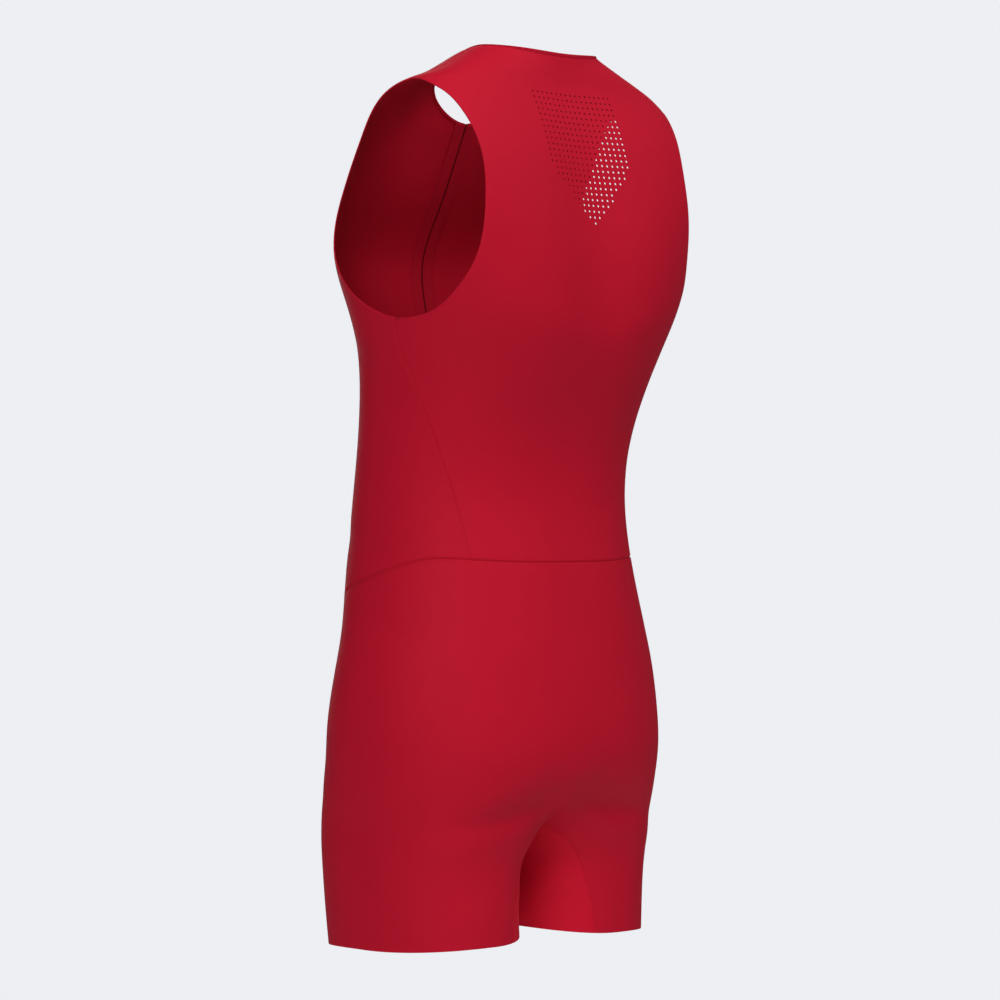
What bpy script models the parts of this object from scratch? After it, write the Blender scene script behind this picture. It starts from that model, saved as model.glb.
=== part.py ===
"""Sleeveless triathlon suit, filled out by an unseen wearer.

Metres. +Z is up, the wearer faces -Y, the wearer's left is +X. The origin lies midway between the two
points where the neck edge crosses the shoulders, which is where the wearer carries the suit.
Every panel is cut from one smooth form: a stack of rings round the body that splits into two legs.
A place on the left half of the form is given by an angle (0 back, 90 side, 180 front, beyond that the
inner thigh) and a level, which is roughly the height in metres. The right half is its mirror image.
"""
import bpy
import bmesh
import numpy as np
from mathutils import Vector, Matrix
from mathutils.geometry import delaunay_2d_cdt

# cloth
WALL = 0.0012
SEAM_GAP = 0.0003
LATTICE = 0.021
EDGE_STEP = 0.0125
# shallow hollow along the spine
GROOVE_DEPTH = 0.010
GROOVE_WIDTH = 0.042
GROOVE_LEVEL = -0.190
GROOVE_REACH = 0.130
# neckband
BAND_HEIGHT = 0.0037
BAND_THICK = 0.0017
BAND_LEAN = 0.60
# front zip
ZIP_HALF_GAP = 0.0032
ZIP_END_LEVEL = -0.355
COIL_HALF = 0.0027
COIL_PROUD = 0.0004
TAPE_HALF = 0.0130
TAPE_THICK = 0.0010
TAPE_CLEAR = 0.0009
# slider and pull tab, lengths along the zip and widths across it
SLIDER_LEVEL = -0.014
SLIDER_LENGTH = 0.0100
SLIDER_WIDE = 0.0078
SLIDER_NARROW = 0.0058
SLIDER_THICK = 0.0016
SLIDER_LIFT = 0.0008
BRIDGE_HALF = 0.0038
BRIDGE_BAR = 0.0008
BRIDGE_WIDTH = 0.0016
BRIDGE_CLEAR = 0.0024
TAB_LENGTH = 0.0240
TAB_WIDTH = 0.0052
TAB_THICK = 0.0010
TAB_WINDOW = 0.0023
TAB_WINDOW_LENGTH = 0.0062

# level, then height at side, front and back, then how far out the side reaches, the centre of the ring
# across and its inner half width, its depth at front, side and back, and how square it is
# (2 is an ellipse)
RING_COLUMNS = ("level", "side", "front", "back", "reach", "centre", "inner",
                "y_front", "y_side", "y_back", "square", "square_back")
RINGS = {
    "hem":       (-0.838, -0.8385, -0.845, -0.8335, 0.157, 0.080, 0.075, -0.1740, -0.073, 0.0245, 2.20),
    "thigh":     (-0.790, -0.790, -0.790, -0.790, 0.159, 0.080, 0.074, -0.1795, -0.073, 0.0240, 2.25),
    "arch":      (-0.757, -0.757, -0.757, -0.757, 0.1595, 0.078, 0.0725, -0.1785, -0.071, 0.0240, 2.50),
    "crotch":    (-0.745, -0.745, -0.745, -0.745, 0.1595, 0.075, 0.075, -0.1785, -0.071, 0.0265, 2.60),
    "fold":      (-0.725, -0.725, -0.725, -0.725, 0.160, 0.067, 0.078, -0.1810, -0.070, 0.0330, 2.60),
    "seat_low":  (-0.700, -0.700, -0.700, -0.700, 0.164, 0.047, 0.082, -0.1850, -0.069, 0.0440, 2.45),
    "seat":      (-0.665, -0.665, -0.665, -0.665, 0.168, 0.018, 0.090, -0.1862, -0.067, 0.0601, 2.35),
    "hips":      (-0.630, -0.630, -0.630, -0.630, 0.170, 0.000, 0.170, -0.1870, -0.065, 0.0645, 2.30),
    "high_hip":  (-0.560, -0.560, -0.560, -0.560, 0.160, 0.000, 0.160, -0.1747, -0.066, 0.0570, 2.30),
    "waist":     (-0.485, -0.490, -0.520, -0.480, 0.146, 0.000, 0.146, -0.1800, -0.070, 0.0427, 2.32),
    "natural":   (-0.400, -0.400, -0.412, -0.395, 0.140, 0.000, 0.140, -0.1714, -0.066, 0.0345, 2.30),
    "ribs":      (-0.330, -0.330, -0.336, -0.325, 0.144, 0.000, 0.144, -0.1605, -0.054, 0.0567, 2.30),
    "low_chest": (-0.275, -0.275, -0.278, -0.272, 0.156, 0.000, 0.156, -0.1560, -0.041, 0.0803, 2.32),
    "underarm":  (-0.240, -0.240, -0.242, -0.238, 0.1665, 0.000, 0.1665, -0.1620, -0.035, 0.0866, 2.38),
    "chest":     (-0.190, -0.188, -0.192, -0.188, 0.178, 0.000, 0.178, -0.1680, -0.030, 0.0858, 2.60),
    "blades":    (-0.135, -0.127, -0.142, -0.131, 0.176, 0.000, 0.176, -0.1450, -0.0187, 0.0746, 2.90),
    "upper":     (-0.085, -0.0765, -0.108, -0.081, 0.1675, 0.000, 0.1675, -0.1270, -0.0095, 0.0590, 2.90),
    "shoulder":  (-0.042, -0.0350, -0.081, -0.042, 0.1440, 0.000, 0.1440, -0.1140, -0.0138, 0.0416, 2.83),
    "strap":     (-0.020, -0.0194, -0.0703, -0.0239, 0.1080, 0.000, 0.1080, -0.1088, -0.0070, 0.0366, 3.15),
    "collar":    (-0.008, -0.0024, -0.0652, -0.0143, 0.0755, 0.000, 0.0755, -0.1063, -0.0120, 0.0349, 3.41),
    "neck":      (0.000, 0.0000, -0.0620, -0.008, 0.068, 0.000, 0.068, -0.1047, -0.0100, 0.0340, 3.60),
}
# how square the back half is where that differs from the front half
BACK_SQUARE = {"underarm": 2.50, "chest": 2.82, "blades": 3.76, "upper": 3.67, "shoulder": 2.69, "strap": 2.42,
               "collar": 2.34, "neck": 2.30}
# how far the hem rises on the inside of the leg, and over what height that fades out
HEM_RISE = 0.0125
HEM_REACH = 0.048
# columns that must not swing past their values between two rings
STEADY = ("centre", "inner")
# the two halves of the seat are rounded into each other over this width
SEAT_ROUND = 0.038
TABLE = np.array([(*row, BACK_SQUARE.get(name, row[-1])) for name, row in RINGS.items()])
HEM = RINGS["hem"][0]
CROTCH = RINGS["crotch"][0]

# seams and edges on the form, as angle in degrees and level
SIDE_SEAM = [(84.0, -0.2553), (84.0, -0.272), (77.5, -0.302), (67.5, -0.338), (56.5, -0.382), (48.5, -0.424),
             (42.5, -0.478)]
WAIST_SEAM = [(0.0, -0.4855), (20.0, -0.4840), (42.5, -0.4780), (58.0, -0.4745), (74.0, -0.4785),
              (90.0, -0.4870), (112.0, -0.4955), (180.0, -0.5000)]
ARMHOLE_BACK = [(84.0, -0.2553), (79.0, -0.2562), (72.0, -0.2554), (62.0, -0.2484), (53.0, -0.2305),
                (46.6, -0.2100), (42.0, -0.1820), (39.8, -0.1480), (39.8, -0.1150), (43.2, -0.0866),
                (50.5, -0.0655), (63.0, -0.0532), (80.0, -0.0458), (95.0, -0.0428)]
ARMHOLE_FRONT = [(84.0, -0.2553), (88.0, -0.2535), (95.0, -0.2485), (105.0, -0.2385), (114.0, -0.2250),
                 (121.0, -0.2070), (125.5, -0.1840), (127.5, -0.1560), (127.5, -0.1240), (124.5, -0.0909),
                 (118.0, -0.0645), (108.0, -0.0498), (95.0, -0.0428)]
SHOULDER_SEAM = [(95.0, -0.0428), (94.0, -0.0220), (93.0, 0.0000)]
GUSSET_SEAM = [(-44.3, -0.7340), (-39.0, -0.7409), (-34.1, -0.7538), (-30.0, -0.7700), (-26.2, -0.7870),
               (-23.1, -0.8058), (-20.4, HEM)]
GUSSET_START = -0.7265


def spline(knots, values, at, steady=False):
    """Smooth curve through given values. Its bend is even across every knot; a steady one instead takes
    at each knot the slope of the parabola through the knot and its two neighbours."""
    knots = np.asarray(knots, float)
    values = np.asarray(values, float)
    gap = np.diff(knots)
    rise = np.diff(values) / gap
    slope = np.empty_like(values)
    slope[1:-1] = (rise[:-1] * gap[1:] + rise[1:] * gap[:-1]) / (gap[1:] + gap[:-1])
    slope[0] = 2 * rise[0] - slope[1]
    slope[-1] = 2 * rise[-1] - slope[-2]
    if not steady:
        last = len(values) - 1
        inner = np.arange(1, last)
        system = np.zeros((last + 1, last + 1))
        system[inner, inner - 1] = gap[1:]
        system[inner, inner] = 2 * (gap[1:] + gap[:-1])
        system[inner, inner + 1] = gap[:-1]
        system[0, :2] = 2, 1
        system[last, -2:] = 1, 2
        known = 3 * np.concatenate([rise[:1], gap[1:] * rise[:-1] + gap[:-1] * rise[1:], rise[-1:]])
        slope = np.linalg.solve(system, known)
    at = np.clip(at, knots[0], knots[-1])
    i = np.clip(np.searchsorted(knots, at) - 1, 0, len(gap) - 1)
    s = (at - knots[i]) / gap[i]
    h = gap[i]
    return ((2 * s ** 3 - 3 * s ** 2 + 1) * values[i] + (s ** 3 - 2 * s ** 2 + s) * h * slope[i]
            + (3 * s ** 2 - 2 * s ** 3) * values[i + 1] + (s ** 3 - s ** 2) * h * slope[i + 1])


def ring(name, level):
    """One column of the ring table at any level."""
    return spline(TABLE[:, 0], TABLE[:, RING_COLUMNS.index(name)], level, name in STEADY)


def form(angle, level):
    """Point of the left half of the outer face: a squared ellipse at this level, lowered and raised
    round the ring by the heights at side, front and back. Where the two halves would meet in a crease
    a small parabola fills it, and a shallow hollow runs down the spine."""
    angle, level = np.broadcast_arrays(np.radians(angle), np.asarray(level, float))
    sn = np.sin(angle)
    cs = np.cos(angle)
    n = np.where(cs >= 0, ring("square_back", level), ring("square", level))
    centre = ring("centre", level)
    inner = ring("inner", level)
    radius = (np.abs(sn) ** n + np.abs(cs) ** n) ** (-1 / n)
    x = centre + np.where(sn >= 0, ring("reach", level) - centre, inner) * radius * sn
    side = ring("y_side", level)
    depth = np.where(cs >= 0, ring("y_back", level) - side, side - ring("y_front", level))
    q = np.clip(centre / inner, 0, 0.98)
    crease = np.clip(depth * q ** (n - 1) * (1 - q ** n) ** (1 / n - 1) / inner, 0, 1)
    crease *= np.clip((1 - q) / 0.45, 0, 1)
    fill = crease * np.clip(SEAT_ROUND - x, 0, None) ** 2 / (2 * SEAT_ROUND)
    y = side + depth * radius * cs + np.sign(cs) * fill * (level > CROTCH)
    z = ring("side", level) * sn ** 2 + np.where(cs >= 0, ring("back", level), ring("front", level)) * cs ** 2
    inside_hem = np.clip((HEM + HEM_REACH - level) / HEM_REACH, 0, 1) ** 2 * (sn < 0)
    z = z + HEM_RISE * inside_hem * sn ** 2
    groove = np.exp(-(x / GROOVE_WIDTH) ** 2 - ((level - GROOVE_LEVEL) / GROOVE_REACH) ** 2)
    return np.stack([x, y - GROOVE_DEPTH * groove * (cs > 0), z], -1)


def facing(angle, level):
    """Outward direction of the form, from two short steps along it."""
    lower = np.maximum(level - 0.0005, TABLE[0, 0])
    upper = np.minimum(lower + 0.001, TABLE[-1, 0])
    lower = upper - 0.001
    along = form(angle, upper) - form(angle, lower)
    round_ = form(np.asarray(angle) + 0.2, level) - form(np.asarray(angle) - 0.2, level)
    out = np.cross(along, round_)
    return out / np.linalg.norm(out, axis=-1, keepdims=True)


def middle_angle(level):
    """Angle on the back at which the left half meets the middle of the body, by halving."""
    level = np.atleast_1d(np.asarray(level, float))
    low = np.full(level.shape, -90.0)
    high = np.zeros(level.shape)
    for _ in range(40):
        mid = (low + high) / 2
        inside = form(mid, level)[..., 0] < 0
        low = np.where(inside, mid, low)
        high = np.where(inside, high, mid)
    return (low + high) / 2


def drawn(table, step=EDGE_STEP):
    """Smooth curve through a table of angles and levels, cut into even steps on the form."""
    table = np.array(table, float)
    reach = np.concatenate([[0], np.cumsum(np.linalg.norm(np.diff(table * [0.0025, 1], axis=0), axis=1))])
    fine = np.linspace(0, reach[-1], 400)
    curve = np.stack([spline(reach, table[:, 0], fine), spline(reach, table[:, 1], fine)], 1)
    length = np.concatenate([[0], np.cumsum(np.linalg.norm(np.diff(form(*curve.T), axis=0), axis=1))])
    count = max(2, int(round(length[-1] / step)) + 1)
    even = np.linspace(0, length[-1], count)
    return np.stack([np.interp(even, length, curve[:, 0]), np.interp(even, length, curve[:, 1])], 1)


def straight(start, end, step=EDGE_STEP):
    """Line of constant slope in angle and level, cut into even steps on the form."""
    part = np.linspace(0, 1, 200)[:, None]
    return drawn(np.array(start) * (1 - part) + np.array(end) * part, step)


def loop(*curves):
    """Closed outline from curves that follow each other, each given without its last point."""
    return np.concatenate([c[:-1] for c in curves])


def inside(points, outline):
    """Which points lie within a closed outline, counted by the sides crossed to the right of each."""
    x, y = points[:, None, 0], points[:, None, 1]
    x0, y0 = outline[None, :, 0], outline[None, :, 1]
    x1, y1 = np.roll(outline, -1, 0)[None, :, 0], np.roll(outline, -1, 0)[None, :, 1]
    crosses = (y0 > y) != (y1 > y)
    with np.errstate(divide="ignore", invalid="ignore"):
        at = x0 + (y - y0) / (y1 - y0) * (x1 - x0)
    return (crosses & (x < at)).sum(1) % 2 == 1


def panel(outline, girth, lattice=LATTICE):
    """Triangles that fill an outline drawn in angle and level. girth is metres for each degree."""
    flat = outline * [girth, 1.0]
    low, high = flat.min(0), flat.max(0)
    rows = np.arange(low[1] + lattice / 2, high[1], lattice * 0.87)
    points = [np.stack([np.arange(low[0] + (i % 2) * lattice / 2, high[0], lattice),
                        np.full(len(np.arange(low[0] + (i % 2) * lattice / 2, high[0], lattice)), row)], 1)
              for i, row in enumerate(rows)]
    points = np.concatenate(points)
    points = points[inside(points, flat)]
    near = np.linalg.norm(points[:, None] - flat[None], axis=2).min(1)
    points = points[near > lattice * 0.55]
    every = np.concatenate([flat, points])
    sides = [(i, (i + 1) % len(flat)) for i in range(len(flat))]
    found, _, faces, *_ = delaunay_2d_cdt([Vector(p) for p in every], sides, [], 0, 1e-7)
    found = np.array([tuple(v) for v in found])
    faces = np.array([f for f in faces])
    faces = faces[inside(found[faces].mean(1), flat)]
    a, b, c = found[faces].transpose(1, 0, 2)
    turned = (b - a)[:, 0] * (c - a)[:, 1] - (b - a)[:, 1] * (c - a)[:, 0] > 0
    faces[turned] = faces[turned][:, ::-1]
    return found / [girth, 1.0], faces


def edge_sides(faces):
    """Sides used by one triangle only, each in the direction of its triangle."""
    sides = np.concatenate([faces[:, [0, 1]], faces[:, [1, 2]], faces[:, [2, 0]]])
    key = np.sort(sides, 1)
    _, first, count = np.unique(key, axis=0, return_index=True, return_counts=True)
    return sides[first[count == 1]]


def drawn_in(points, normals, faces, by):
    """Move every point of the edge into the panel, square to the edge."""
    sides = edge_sides(faces)
    way = points[sides[:, 1]] - points[sides[:, 0]]
    way /= np.linalg.norm(way, axis=1, keepdims=True)
    push = np.zeros_like(points)
    for end in (0, 1):
        np.add.at(push, sides[:, end], np.cross(normals[sides[:, end]], way))
    size = np.linalg.norm(push, axis=1, keepdims=True)
    return points + np.where(size > 0, push / np.maximum(size, 1e-9), 0) * by * 2 / np.clip(size, 0.6, 2)


def wall(points, normals, faces, depth, reach=1.0):
    """Closed wall: the outer face, an inner face set back by the depth, and a rim between the two."""
    inner = points - normals * depth * np.reshape(reach, (-1, 1))
    sides = edge_sides(faces)
    n = len(points)
    rim = np.stack([sides[:, 1], sides[:, 0], sides[:, 0] + n, sides[:, 1] + n], 1)
    return np.concatenate([points, inner]), list(faces) + list(faces[:, ::-1] + n) + list(rim)


def both_halves(points, normals, faces):
    """Left half and its mirror image joined where they meet in the middle of the body."""
    on_middle = np.abs(points[:, 0]) < 1e-5
    points = points.copy()
    points[on_middle, 0] = 0
    level = normals.copy()
    level[on_middle, 0] = 0
    level /= np.linalg.norm(level, axis=1, keepdims=True)
    reach = 1 / np.clip((level * normals).sum(1), 0.45, 1)
    n = len(points)
    other = np.where(on_middle, np.arange(n), np.arange(n) + n)
    flip = np.array([-1, 1, 1])
    every = np.concatenate([points, points * flip])
    directions = np.concatenate([level, level * flip])
    reaches = np.concatenate([reach, reach])
    triangles = np.concatenate([faces, other[faces][:, ::-1]])
    used = np.unique(triangles)
    place = np.full(2 * n, -1)
    place[used] = np.arange(len(used))
    return every[used], directions[used], place[triangles], reaches[used]


def material(name, colour, roughness, metallic=0.0):
    made = bpy.data.materials.new(name)
    made.use_nodes = True
    shader = made.node_tree.nodes["Principled BSDF"]
    shader.inputs["Base Color"].default_value = (*colour, 1)
    shader.inputs["Roughness"].default_value = roughness
    shader.inputs["Metallic"].default_value = metallic
    return made


def solid(name, points, faces, paint, smooth=True):
    """One named object from points and faces, with its faces turned outward."""
    mesh = bpy.data.meshes.new(name)
    mesh.from_pydata([tuple(p) for p in points], [], [tuple(int(i) for i in f) for f in faces])
    work = bmesh.new()
    work.from_mesh(mesh)
    bmesh.ops.recalc_face_normals(work, faces=work.faces)
    if work.calc_volume(signed=True) < 0:
        bmesh.ops.reverse_faces(work, faces=work.faces)
    work.to_mesh(mesh)
    work.free()
    mesh.materials.append(paint)
    made = bpy.data.objects.new(name, mesh)
    bpy.context.scene.collection.objects.link(made)
    return made


def cloth(name, outline, girth, paint, mirrored=False, whole=False):
    """Panel of cloth cut to an outline: one half, its mirror image, or the two halves in one piece."""
    places, faces = panel(outline, girth)
    points = form(*places.T)
    normals = facing(*places.T)
    reach = np.ones(len(points))
    if whole:
        points, normals, faces, reach = both_halves(points, normals, faces)
    points = drawn_in(points, normals, faces, SEAM_GAP / 2)
    if mirrored:
        points, normals, faces = points * [-1, 1, 1], normals * [-1, 1, 1], faces[:, ::-1]
    return solid(name, *wall(points, normals, faces, WALL, reach), paint)


def grid_faces(rows, columns):
    """Two triangles for each cell of a grid whose points are counted row by row."""
    r, c = np.meshgrid(np.arange(rows - 1), np.arange(columns - 1), indexing="ij")
    a = (r * columns + c).ravel()
    return np.concatenate([np.stack([a, a + 1, a + columns + 1], 1),
                           np.stack([a, a + columns + 1, a + columns], 1)])


def prism(outline, rise_from, rise_to):
    """Closed block between two copies of an outline, set at two distances along the third axis."""
    n = len(outline)
    points = np.concatenate([np.column_stack([outline, np.full(n, rise_from)]),
                             np.column_stack([outline, np.full(n, rise_to)])])
    faces = [tuple(range(n))[::-1], tuple(range(n, 2 * n))]
    faces += [(i, (i + 1) % n, (i + 1) % n + n, i + n) for i in range(n)]
    return points, faces


for old in list(bpy.data.objects):
    bpy.data.objects.remove(old, do_unlink=True)

RED = (0.560, 0.010, 0.030)
back_paint = material("back_bodice_knit", RED, 0.62)
left_paint = material("front_left_knit", RED, 0.62)
right_paint = material("front_right_knit", RED, 0.62)
shorts_paint = material("shorts_knit", RED, 0.60)
gusset_paint = material("gusset_knit", (0.600, 0.012, 0.034), 0.58)
band_paint = material("neckband_knit", (0.480, 0.009, 0.028), 0.62)
tape_paint = material("zip_tape_woven", (0.420, 0.010, 0.026), 0.75)
coil_paint = material("zip_coil_nylon", (0.360, 0.008, 0.022), 0.45)
slider_paint = material("zip_slider_enamel", (0.300, 0.008, 0.020), 0.35, 0.4)
tab_paint = material("zip_tab_enamel", (0.300, 0.008, 0.020), 0.35, 0.4)

# outlines shared by the panels
side_seam = drawn(SIDE_SEAM)
armhole_back = drawn(ARMHOLE_BACK)
armhole_front = drawn(ARMHOLE_FRONT)
shoulder_seam = drawn(SHOULDER_SEAM)
seam_angles = np.array(WAIST_SEAM)[:, 0]
seam_levels = np.array(WAIST_SEAM)[:, 1]
corner = side_seam[-1, 0]
side_seam[-1, 1] = spline(seam_angles, seam_levels, corner)


def waist_part(start, end):
    """Waist seam between two angles."""
    angles = np.linspace(start, end, 60)
    return drawn(np.stack([angles, spline(seam_angles, seam_levels, angles)], 1))


def zip_angle(level, across):
    """Angle in front that lies this far from the middle."""
    return 180 - np.degrees(across / ring("reach", level))


waist_back = waist_part(0, corner)
waist_front = waist_part(corner, 180)

# back bodice, one piece from side seam to side seam
neck_back = straight((93.0, 0.0), (0.0, 0.0))
spine = straight((0.0, 0.0), (0.0, waist_back[0, 1]))
back_outline = loop(waist_back, side_seam[::-1], armhole_back, shoulder_seam, neck_back, spine)
cloth("back_bodice", back_outline, 0.0026, back_paint, whole=True)

# front bodices, from the side seam round to the zip and to each other below it
front_low = waist_front[-1, 1]
zip_levels = np.linspace(0.0, ZIP_END_LEVEL, 40)
zip_side = drawn(np.stack([zip_angle(zip_levels, ZIP_HALF_GAP), zip_levels], 1))
zip_foot = np.array([[180.0, ZIP_END_LEVEL - 0.004]])
below_zip = straight((180.0, ZIP_END_LEVEL - 0.004), (180.0, front_low))
neck_front = straight((93.0, 0.0), (zip_side[0, 0], 0.0))
front_outline = np.concatenate([waist_front[:-1], below_zip[::-1][:-1], zip_foot, zip_side[::-1][:-1],
                                neck_front[::-1][:-1], shoulder_seam[::-1][:-1],
                                armhole_front[::-1][:-1], side_seam[:-1]])
cloth("front_bodice_left", front_outline, 0.0026, left_paint)
cloth("front_bodice_right", front_outline, 0.0026, right_paint, mirrored=True)

# shorts in one piece, wrapped round both legs and seamed at the centre front
seat_levels = np.linspace(waist_back[0, 1], GUSSET_START, 60)
seat_middle = drawn(np.stack([middle_angle(seat_levels), seat_levels], 1))
start_angle = seat_middle[-1, 0]
gusset_back = drawn([(start_angle, GUSSET_START)] + GUSSET_SEAM)
gusset_front = np.stack([180 - gusset_back[:, 0], gusset_back[:, 1]], 1)
front_levels = np.linspace(front_low, GUSSET_START, 60)
front_middle = drawn(np.stack([180 - middle_angle(front_levels), front_levels], 1))
hem_line = straight((gusset_back[-1, 0], HEM), (gusset_front[-1, 0], HEM))
waist_whole = np.concatenate([waist_back[:-1], waist_front])
shorts_outline = loop(waist_whole[::-1], seat_middle, gusset_back, hem_line, gusset_front[::-1],
                      front_middle[::-1])
cloth("shorts_panel", shorts_outline, 0.0025, shorts_paint, whole=True)

# gusset along both inner legs, joined under the body
under_levels = CROTCH + (GUSSET_START - CROTCH) * np.linspace(0, 1, 60) ** 2
under_angles = middle_angle(np.clip(under_levels, CROTCH + 1e-6, None))
under_back = np.stack([360 + under_angles, under_levels], 1)
under_front = np.stack([180 - under_angles, under_levels], 1)
bridge = drawn(np.concatenate([under_front[::-1], [[270.0, CROTCH]], under_back[1:]]))
gusset_right_side = gusset_back + [360, 0]
inner_hem = straight((gusset_right_side[-1, 0], HEM), (gusset_front[-1, 0], HEM))
gusset_outline = loop(bridge, gusset_right_side, inner_hem, gusset_front[::-1])
cloth("inner_leg_gusset", gusset_outline, 0.0015, gusset_paint, whole=True)

# neckband, standing on the neck edge and open at the zip
band_angles = np.concatenate([neck_front[::-1, 0], neck_back[1:, 0]])
half = form(band_angles, 0.0)
half_out = facing(band_angles, 0.0)
half_up = form(band_angles, 0.0) - form(band_angles, -0.002)
half_up /= np.linalg.norm(half_up, axis=1, keepdims=True)
foot = np.concatenate([half, half[-2::-1] * [-1, 1, 1]])
out = np.concatenate([half_out, half_out[-2::-1] * [-1, 1, 1]])
rise = np.concatenate([half_up, half_up[-2::-1] * [-1, 1, 1]])
up = rise * (1 - BAND_LEAN) + np.array([0, 0, 1.0]) * BAND_LEAN
up /= np.linalg.norm(up, axis=1, keepdims=True)
away = out - up * (out * up).sum(1, keepdims=True)
away /= np.linalg.norm(away, axis=1, keepdims=True)
clear = SEAM_GAP * 1.5 + BAND_THICK / 2 * np.abs((away * rise).sum(1, keepdims=True))
# height and depth of the band's section, as parts of its height and thickness
BAND_SECTION = [(0.00, 0.50), (0.30, 0.62), (0.80, 0.58), (1.00, 0.20), (1.00, -0.20), (0.80, -0.50),
                (0.30, -0.42), (0.00, -0.30)]
base = foot + rise * clear - out * WALL / 2
band = np.stack([base + up * BAND_HEIGHT * h + away * BAND_THICK * d for h, d in BAND_SECTION], 1)
stations, ring_size = band.shape[:2]
band_faces = [(i * ring_size + j, i * ring_size + (j + 1) % ring_size,
               (i + 1) * ring_size + (j + 1) % ring_size, (i + 1) * ring_size + j)
              for i in range(stations - 1) for j in range(ring_size)]
band_faces += [tuple(range(ring_size)), tuple(range((stations - 1) * ring_size, stations * ring_size))]
solid("neckband", band.reshape(-1, 3), band_faces, band_paint)

# zip, with a tape behind each front and the coil between them
path_levels = np.linspace(-0.001, ZIP_END_LEVEL + 0.001, 30)


def lane(across):
    """Line down the zip at one distance from the middle, with its outward direction."""
    angle = zip_angle(path_levels, abs(across))
    points, normals = form(angle, path_levels), facing(angle, path_levels)
    if across < 0:
        points, normals = points * [-1, 1, 1], normals * [-1, 1, 1]
    return points, normals


def ribbon(name, lanes, set_back, depth, paint):
    """Closed strip through lanes down the zip, set back from the outer face of the cloth."""
    pairs = [lane(a) for a in lanes]
    points = np.stack([p for p, _ in pairs], 1)
    normals = np.stack([n for _, n in pairs], 1)
    points = (points - normals * set_back).reshape(-1, 3)
    faces = grid_faces(len(path_levels), len(lanes))
    return solid(name, *wall(points, normals.reshape(-1, 3), faces, depth), paint)


tape_back = WALL + TAPE_CLEAR
ribbon("zip_tape_left", (SEAM_GAP / 2, TAPE_HALF / 2, TAPE_HALF), tape_back, TAPE_THICK, tape_paint)
ribbon("zip_tape_right", (-SEAM_GAP / 2, -TAPE_HALF / 2, -TAPE_HALF), tape_back, TAPE_THICK, tape_paint)
ribbon("zip_coil", (-COIL_HALF, 0.0, COIL_HALF), -COIL_PROUD, COIL_PROUD + WALL, coil_paint)

# slider frame: x across the zip, y outward from the chest, z up along the zip
place = form(180.0, SLIDER_LEVEL)
outward = facing(180.0, SLIDER_LEVEL)
outward[0] = 0
outward /= np.linalg.norm(outward)
frame = Matrix((( -1.0, 0.0, 0.0), tuple(outward), tuple(np.cross((-1.0, 0.0, 0.0), outward)))).transposed()
plate_top = COIL_PROUD + SLIDER_LIFT + SLIDER_THICK
axis_lift = plate_top + BRIDGE_CLEAR / 2


def placed(points, lift):
    """Points given across, outward and up the zip, put on the chest at the slider's level."""
    turn = np.array(frame)
    return np.asarray(points) @ turn.T + place + outward * lift


outline = [(-SLIDER_WIDE / 2, SLIDER_LENGTH * 0.30), (-SLIDER_WIDE * 0.32, SLIDER_LENGTH / 2),
           (SLIDER_WIDE * 0.32, SLIDER_LENGTH / 2), (SLIDER_WIDE / 2, SLIDER_LENGTH * 0.30),
           (SLIDER_NARROW / 2, -SLIDER_LENGTH * 0.40), (SLIDER_NARROW * 0.30, -SLIDER_LENGTH / 2),
           (-SLIDER_NARROW * 0.30, -SLIDER_LENGTH / 2), (-SLIDER_NARROW / 2, -SLIDER_LENGTH * 0.40)]
plate, plate_faces = prism(outline, plate_top - SLIDER_THICK, plate_top)
slider = solid("zip_slider", placed(plate[:, [0, 2, 1]], 0.0), plate_faces, slider_paint)

# bridge over the slider, as height along the zip and lift above the plate
outer_arc = [(BRIDGE_HALF, -BRIDGE_BAR), (BRIDGE_HALF, BRIDGE_CLEAR * 0.7),
             (BRIDGE_HALF * 0.72, BRIDGE_CLEAR + BRIDGE_BAR), (-BRIDGE_HALF * 0.72, BRIDGE_CLEAR + BRIDGE_BAR),
             (-BRIDGE_HALF, BRIDGE_CLEAR * 0.7), (-BRIDGE_HALF, -BRIDGE_BAR)]
inner_arc = [(-BRIDGE_HALF + BRIDGE_BAR, -BRIDGE_BAR), (-BRIDGE_HALF + BRIDGE_BAR, BRIDGE_CLEAR * 0.6),
             (-BRIDGE_HALF * 0.62, BRIDGE_CLEAR), (BRIDGE_HALF * 0.62, BRIDGE_CLEAR),
             (BRIDGE_HALF - BRIDGE_BAR, BRIDGE_CLEAR * 0.6), (BRIDGE_HALF - BRIDGE_BAR, -BRIDGE_BAR)]
profile, bridge_faces = prism(outer_arc + inner_arc, -BRIDGE_WIDTH / 2, BRIDGE_WIDTH / 2)
bridge_points = np.stack([profile[:, 2], profile[:, 1] + plate_top, profile[:, 0]], 1)
bar = solid("slider_bridge_cutter", placed(bridge_points, 0.0), bridge_faces, slider_paint)
bar.hide_render = True
bar.display_type = "WIRE"
join = slider.modifiers.new("bridge", "BOOLEAN")
join.operation = "UNION"
join.solver = "EXACT"
join.object = bar

# pull tab, a flat link hung on the bridge; its origin is the axis it swings on
TURNS = 20
angles = np.linspace(0, 2 * np.pi, TURNS, endpoint=False) + np.pi / TURNS


def rounded(width, top, bottom):
    """Outline of a rounded plate between two heights, by the same count of points whatever its size."""
    cs, sn = np.cos(angles), np.sin(angles)
    reach = (np.abs(cs) ** 6 + np.abs(sn) ** 6) ** (-1 / 6)
    return np.stack([width / 2 * cs * reach, (top + bottom) / 2 + (top - bottom) / 2 * sn * reach], 1)


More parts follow.
